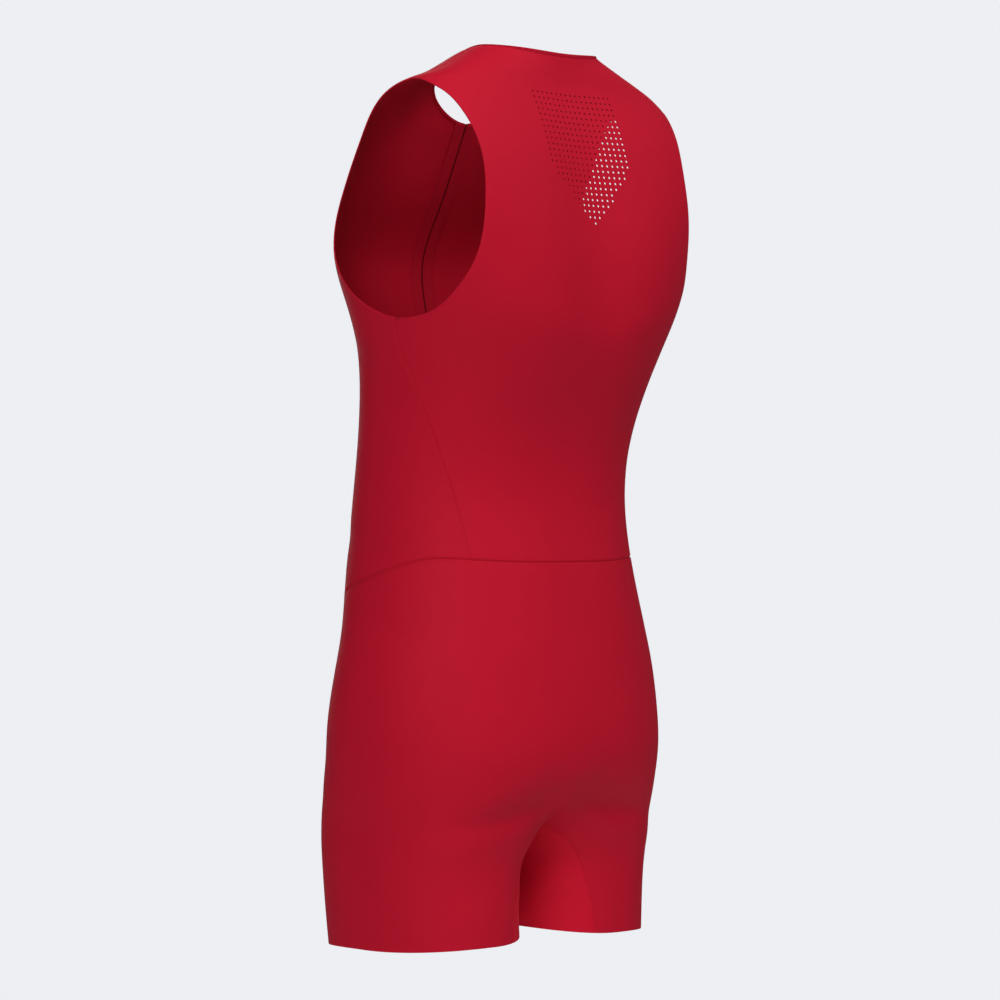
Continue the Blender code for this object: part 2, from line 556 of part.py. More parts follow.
outer = rounded(TAB_WIDTH, TAB_THICK / 2, -TAB_LENGTH)
window = rounded(TAB_WINDOW, -TAB_THICK / 2, -TAB_WINDOW_LENGTH)
flat = np.concatenate([outer, window])
tab_points = np.concatenate([np.insert(flat, 1, -TAB_THICK / 2, axis=1),
                             np.insert(flat, 1, TAB_THICK / 2, axis=1)])
step = np.arange(TURNS)
after = (step + 1) % TURNS
layer = 2 * TURNS
tab_faces = []
for a, b in zip(step, after):
    tab_faces.append((a, b, b + TURNS, a + TURNS))
    tab_faces.append((a + layer, a + layer + TURNS, b + layer + TURNS, b + layer))
    tab_faces.append((a, a + layer, b + layer, b))
    tab_faces.append((a + TURNS, b + TURNS, b + TURNS + layer, a + TURNS + layer))
tab = solid("zip_pull_tab", tab_points, tab_faces, tab_paint)
tab.matrix_world = Matrix.Translation(Vector(place + outward * axis_lift)) @ frame.to_4x4()
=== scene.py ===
import bmesh
import bpy
import numpy as np
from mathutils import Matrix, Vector


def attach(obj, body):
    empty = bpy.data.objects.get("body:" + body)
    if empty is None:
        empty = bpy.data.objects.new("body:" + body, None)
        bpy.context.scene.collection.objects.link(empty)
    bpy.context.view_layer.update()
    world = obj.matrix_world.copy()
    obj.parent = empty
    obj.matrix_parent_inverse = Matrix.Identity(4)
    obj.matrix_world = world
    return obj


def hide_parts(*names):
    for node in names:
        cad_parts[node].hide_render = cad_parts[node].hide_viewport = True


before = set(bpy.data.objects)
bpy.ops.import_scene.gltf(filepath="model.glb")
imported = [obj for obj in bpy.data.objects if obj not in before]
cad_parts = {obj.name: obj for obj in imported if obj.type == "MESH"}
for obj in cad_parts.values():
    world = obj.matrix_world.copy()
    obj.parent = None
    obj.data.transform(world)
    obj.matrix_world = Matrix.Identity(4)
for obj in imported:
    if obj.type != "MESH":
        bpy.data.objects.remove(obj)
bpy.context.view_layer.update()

# Camera and light
# The suit hangs as on a wearer, seen level from behind the left shoulder, against an even pale ground.
VIEW_FROM = np.array([0.6820, 0.7314, 0.0])
VIEW_RIGHT = np.array([-0.7314, 0.6820, 0.0])
VIEW_DISTANCE = 3.2
VIEW_CENTRE = VIEW_RIGHT * -0.03774 + np.array([0.0, 0.0, -0.4222])
PIXELS_PER_METRE = 1063
PICTURE_WIDTH = 1000
SENSOR = 36.0
PALE = (0.847, 0.862, 0.895)
FLOOR_LEVEL = -1.50
FLOOR_REACH = 2.9
FLOOR_SPOKES = 96
FLOOR_RINGS = 24
FLOOR_GLOW = 0.12
WORLD_LIGHT = 0.05

camera = bpy.data.objects.new("camera", bpy.data.cameras.new("camera"))
camera.data.sensor_width = SENSOR
camera.data.lens = SENSOR * PIXELS_PER_METRE * VIEW_DISTANCE / PICTURE_WIDTH
camera.data.clip_end = 50
camera.location = VIEW_CENTRE + VIEW_FROM * VIEW_DISTANCE
camera.rotation_euler = Vector(-VIEW_FROM).to_track_quat("-Z", "Y").to_euler()
bpy.context.scene.collection.objects.link(camera)
bpy.context.scene.camera = camera
bpy.context.scene.view_settings.view_transform = "Standard"


def softbox(name, place, aim, size, watts):
    """Square area light at a place, turned to face a point."""
    lamp = bpy.data.lights.new(name, "AREA")
    lamp.size = size
    lamp.energy = watts
    made = bpy.data.objects.new(name, lamp)
    made.location = place
    made.rotation_euler = (Vector(aim) - Vector(place)).to_track_quat("-Z", "Y").to_euler()
    bpy.context.scene.collection.objects.link(made)


def plug(tree, node, sockets):
    """Join each of a node's sockets to another node's output, or set it to a constant."""
    for socket, value in sockets.items():
        if isinstance(value, bpy.types.NodeSocket):
            tree.links.new(value, node.inputs[socket])
        else:
            node.inputs[socket].default_value = value


def node_out(tree, kind, sockets=None, out=0, **settings):
    """One output of a new shader node, which gets its settings first and then its sockets."""
    made = tree.nodes.new("ShaderNode" + kind)
    for name, value in settings.items():
        setattr(made, name, value)
    plug(tree, made, sockets or {})
    return made.outputs[out]


def new_material(name):
    """New material, its nodes and its main shader."""
    made = bpy.data.materials.new(name)
    made.use_nodes = True
    return made, made.node_tree, made.node_tree.nodes["Principled BSDF"]


def placed(name, points, faces, paint):
    """Mesh of points and faces in one material, shaded smooth, as an object at the origin."""
    mesh = bpy.data.meshes.new(name)
    mesh.from_pydata(np.asarray(points).reshape(-1, 3).tolist(), [], faces)
    mesh.polygons.foreach_set("use_smooth", np.ones(len(mesh.polygons), bool))
    mesh.materials.append(paint)
    made = bpy.data.objects.new(name, mesh)
    bpy.context.scene.collection.objects.link(made)
    return made


softbox("overhead", (0.5, 0.6, 2.4), (0.0, 0.0, -0.3), 2.2, 14)
softbox("camera_side", (3.2, 1.4, 1.1), (0.0, 0.0, -0.45), 1.8, 50)
softbox("right_high", (-0.6, 2.2, 2.2), (0.0, 0.0, -0.4), 1.8, 48)
softbox("camera_front", (2.3, 2.4, 0.2), (0.0, 0.0, -0.4), 1.8, 11)
softbox("front_fill", (-1.8, -2.6, 0.4), (0.0, 0.0, -0.4), 2.4, 30)

# The camera sees the pale ground in full, and the suit gets only a little light from it.
world = bpy.data.worlds.new("studio")
bpy.context.scene.world = world
world.use_nodes = True
sky = world.node_tree
sky.nodes.clear()
seen = node_out(sky, "Background", {"Color": (*PALE, 1)})
lit = node_out(sky, "Background", {"Color": (*PALE, 1), "Strength": WORLD_LIGHT})
camera_ray = node_out(sky, "LightPath", out="Is Camera Ray")
either = node_out(sky, "MixShader", {"Fac": camera_ray, 1: lit, 2: seen})
sky.links.new(either, sky.nodes.new("ShaderNodeOutputWorld").inputs["Surface"])

# The floor is a pale disc that fades out towards its rim, well below the hems.
turn, reach = np.meshgrid(np.arange(FLOOR_SPOKES) * 2 * np.pi / FLOOR_SPOKES,
                          np.linspace(0.02, FLOOR_REACH, FLOOR_RINGS))
floor_points = np.stack([reach * np.cos(turn), reach * np.sin(turn), np.full_like(turn, FLOOR_LEVEL)], -1)
r, c = np.meshgrid(np.arange(FLOOR_RINGS - 1), np.arange(FLOOR_SPOKES), indexing="ij")
r, after = r * FLOOR_SPOKES, (c + 1) % FLOOR_SPOKES
floor_faces = np.stack([r + c, r + FLOOR_SPOKES + c, r + FLOOR_SPOKES + after, r + after], -1)
floor_paint, tree, shader = new_material("pale_floor")
flat = node_out(tree, "VectorMath", {0: node_out(tree, "TexCoord", out="Object"), 1: (1, 1, 0)},
                operation="MULTIPLY")
off_middle = node_out(tree, "VectorMath", {0: flat}, "Value", operation="LENGTH")
fade = node_out(tree, "MapRange", {"Value": off_middle, "From Min": FLOOR_REACH * 0.45,
                                   "From Max": FLOOR_REACH * 0.98, "To Min": 1, "To Max": 0},
                interpolation_type="SMOOTHSTEP")
plug(tree, shader, {"Base Color": (0.86, 0.87, 0.89, 1), "Roughness": 0.9, "Emission Color": (*PALE, 1),
                    "Emission Strength": FLOOR_GLOW, "Alpha": fade})
floor = placed("floor", floor_points, floor_faces.reshape(-1, 4).tolist() + [list(range(FLOOR_SPOKES))],
               floor_paint)

# Back bodice
# One piece of fine stretch knit from side seam to side seam, with a shield of punched air holes between
# the shoulder blades. It is cut from the same smooth form as every other panel of the suit.

# thickness of the knit and of its punched part, and the usual distance between grid lines
CLOTH = 0.0008
CLOTH_PUNCHED = 0.0005
STEP = 0.0050
# distances of the first grid lines from a sewn or cut edge, and the end of that border
EDGE_LINES = np.array([0.0001, 0.0003, 0.0006, 0.0010, 0.0016, 0.0025, 0.0038])
BORDER = 0.0039
# how deep and over what width a panel rolls in at a seam, at the waist seam and at a cut edge
SEAM = (0.00055, 0.0018)
WAIST = (0.0010, 0.0030)
CUT = (0.00022, 0.0007)
# how far a sewn edge runs on under its neighbour
TUCK = 0.00030
# hollow down the spine: depth, width, level of its middle and reach up and down
GROOVE_DEPTH = 0.008
GROOVE_WIDTH = 0.044
GROOVE_LEVEL = -0.190
GROOVE_REACH = 0.130
# half width of the rounding between the two halves of the seat
SEAT_ROUND = 0.038
# how many places a line is worked out at, and the metres that a degree of angle counts as beside a level
FINE = 501
DEGREE = 0.0025
# level, then height at side, front and back, reach of the side, centre and inner half width of the ring,
# its depth at front, side and back, and how square it is
RING_COLUMNS = ("level", "side", "front", "back", "reach", "centre", "inner",
                "y_front", "y_side", "y_back", "square", "square_back")
RINGS = {
    "hem": (-0.838, -0.8385, -0.845, -0.8335, 0.157, 0.08, 0.075, -0.174, -0.073, 0.0245, 2.2),
    "thigh": (-0.79, -0.79, -0.79, -0.79, 0.159, 0.08, 0.074, -0.1795, -0.073, 0.024, 2.25),
    "arch": (-0.757, -0.757, -0.757, -0.757, 0.1595, 0.078, 0.0725, -0.1785, -0.071, 0.024, 2.5),
    "crotch": (-0.745, -0.745, -0.745, -0.745, 0.1595, 0.075, 0.075, -0.1785, -0.071, 0.0265, 2.6),
    "fold": (-0.725, -0.725, -0.725, -0.725, 0.16, 0.067, 0.078, -0.181, -0.07, 0.033, 2.6),
    "seat_low": (-0.7, -0.7, -0.7, -0.7, 0.164, 0.047, 0.082, -0.185, -0.069, 0.044, 2.45),
    "seat": (-0.665, -0.665, -0.665, -0.665, 0.168, 0.018, 0.09, -0.1862, -0.067, 0.0601, 2.35),
    "hips": (-0.63, -0.63, -0.63, -0.63, 0.17, 0.0, 0.17, -0.187, -0.065, 0.0645, 2.3),
    "high_hip": (-0.56, -0.56, -0.56, -0.56, 0.16, 0.0, 0.16, -0.1747, -0.066, 0.057, 2.3),
    "waist": (-0.485, -0.49, -0.52, -0.48, 0.146, 0.0, 0.146, -0.18, -0.07, 0.0427, 2.32),
    "natural": (-0.4, -0.4, -0.412, -0.395, 0.14, 0.0, 0.14, -0.1714, -0.066, 0.0345, 2.3),
    "ribs": (-0.33, -0.33, -0.336, -0.325, 0.144, 0.0, 0.144, -0.1605, -0.054, 0.0567, 2.3),
    "low_chest": (-0.275, -0.275, -0.278, -0.272, 0.156, 0.0, 0.156, -0.156, -0.041, 0.0803, 2.32),
    "underarm": (-0.24, -0.24, -0.242, -0.238, 0.1665, 0.0, 0.1665, -0.162, -0.035, 0.0866, 2.38),
    "chest": (-0.19, -0.188, -0.192, -0.188, 0.178, 0.0, 0.178, -0.168, -0.03, 0.0858, 2.6),
    "blades": (-0.135, -0.127, -0.142, -0.131, 0.176, 0.0, 0.176, -0.145, -0.0187, 0.0746, 2.9),
    "upper": (-0.085, -0.0765, -0.108, -0.081, 0.1675, 0.0, 0.1675, -0.127, -0.0095, 0.059, 2.9),
    "shoulder": (-0.042, -0.035, -0.081, -0.042, 0.144, 0.0, 0.144, -0.114, -0.0138, 0.0416, 2.83),
    "strap": (-0.02, -0.0194, -0.0703, -0.0239, 0.108, 0.0, 0.108, -0.1088, -0.007, 0.0366, 3.15),
    "collar": (-0.008, -0.0024, -0.0652, -0.0143, 0.0755, 0.0, 0.0755, -0.1063, -0.012, 0.0349, 3.41),
    "neck": (0.0, 0.0, -0.062, -0.008, 0.068, 0.0, 0.068, -0.1047, -0.01, 0.034, 3.6),
}
# how square the back half is where that differs from the front half
BACK_SQUARE = {"underarm": 2.50, "chest": 2.82, "blades": 3.76, "upper": 3.67, "shoulder": 2.69,
               "strap": 2.42, "collar": 2.34, "neck": 2.30}
# how far the hem rises on the inside of the leg, and over what height that fades out
HEM_RISE = 0.0125
HEM_REACH = 0.048
# soft troughs and ridges of the worn cloth: angle and level of the middle, half length in degrees, half
# width in level, rise of level for each degree, and depth
CREASES = np.array([
    (2.0, -0.7125, 36.0, 0.0150, -0.00025, 0.0062), (58.0, -0.6450, 9.0, 0.0500, -0.0020, 0.0011),
    (34.0, -0.3600, 8.0, 0.0220, 0.0010, 0.0010), (24.0, -0.4300, 16.0, 0.0110, 0.0004, 0.0007),
    (66.0, -0.7500, 14.0, 0.0120, 0.0005, 0.0008), (128.0, -0.4450, 20.0, 0.0120, 0.0005, 0.0010),
    (150.0, -0.7150, 20.0, 0.0120, -0.0007, 0.0014), (112.0, -0.2900, 12.0, 0.0130, 0.0009, 0.0009),
    (20.0, -0.2600, 12.0, 0.0160, 0.0008, -0.0008), (75.0, -0.5400, 18.0, 0.0130, 0.0004, 0.0006)])
STEADY = ("centre", "inner")
TABLE = np.array([(*row, BACK_SQUARE.get(name, row[-1])) for name, row in RINGS.items()])
HEM = RINGS["hem"][0]
CROTCH = RINGS["crotch"][0]
# seams and edges, as angle in degrees (0 back, 90 side, 180 front) and level
SIDE_SEAM = [(84.0, -0.2553), (84.0, -0.272), (77.5, -0.302), (67.5, -0.338), (56.5, -0.382),
             (48.5, -0.424), (42.5, -0.478)]
WAIST_SEAM = [(0.0, -0.4855), (20.0, -0.484), (42.5, -0.478), (58.0, -0.4745), (74.0, -0.4785),
              (90.0, -0.487), (112.0, -0.4955), (180.0, -0.5)]
ARMHOLE_BACK = [(84.0, -0.2553), (79.0, -0.2562), (72.0, -0.2554), (62.0, -0.2484), (53.0, -0.2305),
                (46.6, -0.21), (42.0, -0.182), (39.8, -0.148), (39.8, -0.115), (43.2, -0.0866),
                (50.5, -0.0655), (63.0, -0.0532), (80.0, -0.0458), (95.0, -0.0428)]
ARMHOLE_FRONT = [(84.0, -0.2553), (88.0, -0.2535), (95.0, -0.2485), (105.0, -0.2385), (114.0, -0.2250),
                 (121.0, -0.207), (125.5, -0.184), (127.5, -0.156), (127.5, -0.124), (124.5, -0.0909),
                 (118.0, -0.0645), (108.0, -0.0498), (95.0, -0.0428)]
SHOULDER_SEAM = [(95.0, -0.0428), (94.0, -0.0220), (93.0, 0.0000)]
# shield of air holes: spacing across and down, top row, and half width of the shield at each height
HOLE_RADIUS = 0.00105
HOLE_ACROSS = 0.0061
HOLE_DOWN = 0.0055
HOLE_TOP = -0.0455
HOLE_ROWS = 23
HOLE_COLUMNS = 9
SHIELD = [(-0.167, 0.003), (-0.143, 0.026), (-0.13, 0.038), (-0.121, 0.046),
          (-0.11, 0.0495), (-0.04, 0.0495)]
# half width and foot of the thinner cloth round the shield, and over what distance it thickens
THIN_HALF = 0.062
THIN_FADE = 0.012
THIN_FOOT = -0.185
THIN_FADE_UP = 0.015
# grid lines that frame and cross a hole, as shares of its radius
HOLE_GRID = np.array([-0.85, -0.30, 0.30, 0.85])
# dye of the knit, and the deeper one of the neckband and threads
RED = (0.620, 0.0085, 0.0310)
RED_DEEP = (0.540, 0.0075, 0.0270)


def smooth_curve(knots, values, at, steady=False):
    """Smooth curve through given values. Its bend is even across every knot; a steady one instead takes
    at each knot the slope of the parabola through the knot and its two neighbours."""
    knots = np.asarray(knots, float)
    values = np.asarray(values, float)
    gap = np.diff(knots)
    rise = np.diff(values) / gap
    slope = np.empty_like(values)
    slope[1:-1] = (rise[:-1] * gap[1:] + rise[1:] * gap[:-1]) / (gap[1:] + gap[:-1])
    slope[0] = 2 * rise[0] - slope[1]
    slope[-1] = 2 * rise[-1] - slope[-2]
    if not steady:
        last = len(values) - 1
        inner = np.arange(1, last)
        system = np.zeros((last + 1, last + 1))
        system[inner, inner - 1] = gap[1:]
        system[inner, inner] = 2 * (gap[1:] + gap[:-1])
        system[inner, inner + 1] = gap[:-1]
        system[0, :2] = 2, 1
        system[last, -2:] = 1, 2
        known = 3 * np.concatenate([rise[:1], gap[1:] * rise[:-1] + gap[:-1] * rise[1:], rise[-1:]])
        slope = np.linalg.solve(system, known)
    at = np.clip(at, knots[0], knots[-1])
    i = np.clip(np.searchsorted(knots, at) - 1, 0, len(gap) - 1)
    s = (at - knots[i]) / gap[i]
    h = gap[i]
    return ((2 * s ** 3 - 3 * s ** 2 + 1) * values[i] + (s ** 3 - 2 * s ** 2 + s) * h * slope[i]
            + (3 * s ** 2 - 2 * s ** 3) * values[i + 1] + (s ** 3 - s ** 2) * h * slope[i + 1])


def ring(name, level):
    """One column of the ring table at any level."""
    return smooth_curve(TABLE[:, 0], TABLE[:, RING_COLUMNS.index(name)], level, name in STEADY)


def form(angle, level):
    """Point of the left half of the outer face: a squared ellipse at this level, lowered and raised
    round the ring by the heights at side, front and back. Where the two halves would meet in a crease
    a small parabola fills it, and a shallow hollow runs down the spine. Each crease takes its depth off
    the ring, fading as a bell curve to its ends and sides."""
    angle, level = np.broadcast_arrays(np.radians(angle), np.asarray(level, float))
    gone = 0.0
    for place, height, reach, width, slant, depth in CREASES:
        off = np.mod(np.degrees(angle) + 90, 360) - 90 - place
        gone = gone + depth * np.exp(-(off / reach) ** 2 - ((level - height - slant * off) / width) ** 2)
    sn = np.sin(angle)
    cs = np.cos(angle)
    n = np.where(cs >= 0, ring("square_back", level), ring("square", level))
    centre = ring("centre", level)
    inner = ring("inner", level)
    radius = (np.abs(sn) ** n + np.abs(cs) ** n) ** (-1 / n)
    x = centre + np.where(sn >= 0, ring("reach", level) - centre, inner) * radius * sn
    side = ring("y_side", level)
    depth = np.where(cs >= 0, ring("y_back", level) - side, side - ring("y_front", level))
    q = np.clip(centre / inner, 0, 0.98)
    crease = np.clip(depth * q ** (n - 1) * (1 - q ** n) ** (1 / n - 1) / inner, 0, 1)
    crease *= np.clip((1 - q) / 0.45, 0, 1)
    fill = crease * np.clip(SEAT_ROUND - x, 0, None) ** 2 / (2 * SEAT_ROUND)
    y = side + depth * radius * cs + np.sign(cs) * fill * (level > CROTCH)
    z = (ring("side", level) * sn ** 2
         + np.where(cs >= 0, ring("back", level), ring("front", level)) * cs ** 2)
    inside_hem = np.clip((HEM + HEM_REACH - level) / HEM_REACH, 0, 1) ** 2 * (sn < 0)
    z = z + HEM_RISE * inside_hem * sn ** 2
    groove = np.exp(-(x / GROOVE_WIDTH) ** 2 - ((level - GROOVE_LEVEL) / GROOVE_REACH) ** 2)
    return np.stack([x - gone * sn * np.abs(sn), y - GROOVE_DEPTH * groove * (cs > 0) - gone * cs, z], -1)


def unit(ways):
    """Directions brought to a length of one."""
    return ways / np.linalg.norm(ways, axis=-1, keepdims=True)


def facing(angle, level):
    """Outward direction of the form, from two short steps along it."""
    lower = np.maximum(level - 0.0005, TABLE[0, 0])
    upper = np.minimum(lower + 0.001, TABLE[-1, 0])
    lower = upper - 0.001
    along = form(angle, upper) - form(angle, lower)
    round_ = form(np.asarray(angle) + 0.2, level) - form(np.asarray(angle) - 0.2, level)
    return unit(np.cross(along, round_))


def run(points):
    """Distance along a line at each of its points."""
    return np.concatenate([[0], np.cumsum(np.linalg.norm(np.diff(points, axis=0), axis=1))])


def measured(places):
    """Line through dense places: the share of its length, measured on the form, at each of them, then
    the places, then the length."""
    length = run(form(*places.T))
    return length / length[-1], places, length[-1]


def sewing_line(*tables):
    """Measured line through one or more tables of angles and levels, each a smooth curve of its own."""
    places = []
    for table in tables:
        table = np.array(table, float)
        gone = run(table * [DEGREE, 1])
        fine = np.linspace(0, gone[-1], 500)
        places.append(np.stack([smooth_curve(gone, values, fine) for values in table.T], 1))
    return measured(np.concatenate(places))


def on_line(line, share):
    """Places at given shares of a line's length."""
    return np.stack([np.interp(share, line[0], line[1][:, k]) for k in (0, 1)], -1)


def share_at(line, place):
    """Share of a line's length at the point of it nearest to a place."""
    return line[0][np.abs((line[1] - place) * [DEGREE, 1]).sum(1).argmin()]


def paired(left, right, pairs):
    """Two edges walked together: at each pair of shares both are reached at once, and the walk between
    two pairs is as long as the longer of the two stretches. Gives the walk, then both shares along it."""
    a, b = np.array([(0, 0), *pairs, (1, 1)]).T
    walk = np.concatenate([[0], np.cumsum(np.maximum(np.diff(a) * left[2], np.diff(b) * right[2]))])
    return walk, a, b


def spaced(stops, step=STEP, low=True, high=True):
    """Distances through the given stops, close together near an edge and even between."""
    stops = np.atleast_1d(np.asarray(stops, float))
    stops = np.concatenate([EDGE_LINES if low else [0.0], stops[:-1],
                            stops[-1] - EDGE_LINES[::-1] if high else stops[-1:]])
    parts = [np.linspace(a, b, max(1, int(np.ceil((b - a) / step - 0.01))) + 1)[:-1]
             for a, b in zip(stops[:-1], stops[1:])]
    return np.concatenate([*parts, stops[-1:]])


def laid_out(left, right, foot, head, rows, columns, width, level_from=0.0, plain=0.0):
    """Places of a panel on rows and columns. Each row runs from the left to the right edge, and the rows
    bend from the foot edge to the head edge as a surface stretched between its four sides does. Columns
    keep their distance from the nearer edge and share out the rest. Up to level_from a row stays level,
    and up to plain metres from the left edge, distance is counted straight across the body."""
    s = np.linspace(0, 1, FINE)[None, :, None]
    share = np.concatenate([s, np.clip((s - level_from) / (1 - level_from), 0, 1)
                            ** (1.0 if level_from == 0 else 1.6)], -1)
    r = rows[:, None, None]
    a, b = left[:, None], right[:, None]
    foot_bend = foot - ((1 - share) * foot[:1] + share * foot[-1:])[0]
    head_bend = head - ((1 - share) * head[:1] + share * head[-1:])[0]
    field = (1 - share) * a + share * b + (1 - r) * foot_bend[None] + r * head_bend[None]
    points = form(field[..., 0], field[..., 1])
    step = np.diff(points, axis=1)
    far = points[:, 1:, 0] > plain - 1e-6
    gone = np.where(far, np.linalg.norm(step, axis=-1), np.abs(step[..., 0]))
    gone = np.concatenate([np.zeros((len(rows), 1)), np.cumsum(gone, 1)], 1)
    low = np.searchsorted(columns, max(plain, BORDER))
    low_edge = columns[min(low, len(columns) - 1)]
    want = np.stack([np.interp(columns, [0, low_edge, width - BORDER, width],
                               [0, low_edge, g[-1] - BORDER, g[-1]]) for g in gone])
    places = np.stack([np.stack([np.interp(w, g, f[:, k]) for k in (0, 1)], -1)
                       for w, g, f in zip(want, gone, field)])
    return places, want, gone[:, -1]


def on_form(places):
    """Points and outward directions of the form at places."""
    return form(places[..., 0], places[..., 1]), facing(places[..., 0], places[..., 1])


def rolled(distance, depth, width):
    """How far a panel's face sinks towards an edge: a parabola over the last millimetre or so."""
    return depth * np.clip(1 - distance / width, 0, 1) ** 2


def grid_quads(rows, columns):
    """Faces of a grid whose rows run upward and whose columns run round the body, facing outward."""
    r, c = np.meshgrid(np.arange(rows - 1), np.arange(columns - 1), indexing="ij")
    a = r * columns + c
    return np.stack([a, a + columns, a + columns + 1, a + 1], -1)


def rim_sides(faces):
    """Sides that belong to one face only, in the direction of their face."""
    sides = np.concatenate([np.stack([faces[:, k], faces[:, (k + 1) % 4]], 1) for k in range(4)])
    _, first, count = np.unique(np.sort(sides, 1), axis=0, return_index=True, return_counts=True)
    return sides[first[count == 1]]


def join_halves(points, normals, faces, thick, across, up):
    """Left half of a panel and its mirror image, sharing the points that lie on the middle. The cloth's
    grain is counted across and up the panel."""
    thick = np.broadcast_to(thick, points.shape[:-1]).ravel()
    pattern = np.stack(np.broadcast_arrays(across, up), -1).reshape(-1, 2)
    points, normals = points.reshape(-1, 3).copy(), normals.reshape(-1, 3).copy()
    middle = np.abs(points[:, 0]) < 2e-6
    points[middle, 0] = 0
    normals[middle, 0] = 0
    normals = unit(normals)
    n = len(points)
    other = np.where(middle, np.arange(n), np.arange(n) + n)
    faces = faces.reshape(-1, 4)
    flip = np.array([-1, 1, 1])
    return (np.concatenate([points, points * flip]), np.concatenate([normals, normals * flip]),
            np.concatenate([faces, other[faces][:, ::-1]]), np.concatenate([thick, thick]),
            np.concatenate([pattern, pattern * [-1, 1]]))


def tucked(points, left=0.0, right=0.0, foot=0.0, head=0.0):
    """Panel with its sewn edges drawn out past the seam, so that the next panel covers them."""
    points = points.copy()
    for first, second, by in ((np.s_[:, 0], np.s_[:, 1], left), (np.s_[:, -1], np.s_[:, -2], right),
                              (np.s_[0], np.s_[1], foot), (np.s_[-1], np.s_[-2], head)):
        way = points[first] - points[second]
        way /= np.maximum(np.linalg.norm(way, axis=-1, keepdims=True), 1e-9)
        points[first] += way * np.reshape(np.broadcast_to(by, len(way)), (-1, 1))
    return points


def cloth_piece(name, points, normals, faces, thick, pattern, paint):
    """Closed thin shell: the outer face, an inner face set back by the thickness, and rims between.
    Shading stays apart on the two sides of every rim."""
    used = np.unique(faces)
    place = np.full(len(points), -1)
    place[used] = np.arange(len(used))
    points, normals, thick, pattern, faces = (points[used], normals[used], thick[used], pattern[used],
                                              place[faces])
    n = len(points)
    sides = rim_sides(faces)
    every = np.concatenate([points, points - normals * thick[:, None]])
    quads = np.concatenate([faces, faces[:, ::-1] + n,
                            np.stack([sides[:, 1], sides[:, 0], sides[:, 0] + n, sides[:, 1] + n], 1)])
    made = placed(name, every, quads.tolist(), paint)
    mesh = made.data
    ends = np.empty(len(mesh.edges) * 2, int)
    mesh.edges.foreach_get("vertices", ends)
    size = len(every)
    rims = np.concatenate([sides, sides + n])
    sharp = np.isin(np.sort(ends.reshape(-1, 2), 1) @ [size, 1], np.sort(rims, 1) @ [size, 1])
    mesh.attributes.new("sharp_edge", "BOOLEAN", "EDGE").data.foreach_set("value", sharp)
    corner = np.empty(len(mesh.loops), int)
    mesh.loops.foreach_get("vertex_index", corner)
    grain = np.concatenate([pattern, pattern])[corner]
    mesh.uv_layers.new(name="grain").data.foreach_set("uv", grain.ravel())
    return made


def noise(tree, scale, detail=2):
    """Noise on the piece's own coordinates."""
    return node_out(tree, "TexNoise", {"Vector": node_out(tree, "TexCoord", out="Object"),
                                       "Scale": scale, "Detail": detail}, "Fac")


def two_tone(tree, colour, low, high, share):
    """Colour that goes from a lower to a higher part of one dye as a share goes from 0 to 1."""
    low, high = [(*(np.array(colour) * part), 1) for part in (low, high)]
    return node_out(tree, "Mix", {"A": low, "B": high, "Factor": share}, "Result", data_type="RGBA")


def drifting(tree, middle, spread, share):
    """Value that drifts about a middle as a share goes from 0 to 1."""
    return node_out(tree, "MapRange", {"Value": share, "To Min": middle - spread,
                                       "To Max": middle + spread})


def bumped(tree, height, strength, distance):
    """Surface direction tilted by a small relief."""
    return node_out(tree, "Bump", {"Strength": strength, "Distance": distance, "Height": height})


def knit(name, colour, roughness=0.60):
    """Fine stretch knit: wales 0.55 mm apart up the grain, courses 0.4 mm apart across it, and a faint
    unevenness of colour and sheen a few centimetres wide."""
    made, tree, shader = new_material(name)
    grain = node_out(tree, "UVMap", uv_map="grain")
    waves = []
    for axis, pitch in (("X", 0.00055), ("Y", 0.00040)):
        phase = node_out(tree, "Math", {0: node_out(tree, "SeparateXYZ", {0: grain}, axis),
                                        1: 2 * np.pi / pitch}, operation="MULTIPLY")
        waves.append(node_out(tree, "Math", {0: phase}, operation="SINE"))
    height = node_out(tree, "Math", {0: waves[1], 1: 0.35, 2: waves[0]}, operation="MULTIPLY_ADD")
    patch = noise(tree, 22)
    plug(tree, shader, {"Base Color": two_tone(tree, colour, 0.965, 1.035, patch),
                        "Roughness": drifting(tree, roughness, 0.04, patch),
                        "Normal": bumped(tree, height, 0.25, 0.00006),
                        "Sheen Weight": 0.02, "Sheen Roughness": 0.45, "Specular IOR Level": 0.06})
    return made


def hole_lines(centre):
    """Four grid lines that frame and cross a hole."""
    return centre + HOLE_RADIUS * HOLE_GRID


waist_angles, waist_levels = np.array(WAIST_SEAM).T
corner = SIDE_SEAM[-1][0]
SIDE_SEAM[-1] = (corner, float(smooth_curve(waist_angles, waist_levels, corner)))


def waist_seam(start, end):
    """Places along the waist seam between two angles."""
    angles = np.linspace(start, end, FINE)
    return np.stack([angles, smooth_curve(waist_angles, waist_levels, angles)], 1)


back_edge = sewing_line(SIDE_SEAM[::-1], ARMHOLE_BACK, SHOULDER_SEAM)
waist_middle = waist_levels[0]
spine = sewing_line([(0, waist_middle), (0, waist_middle / 2), (0, 0)])
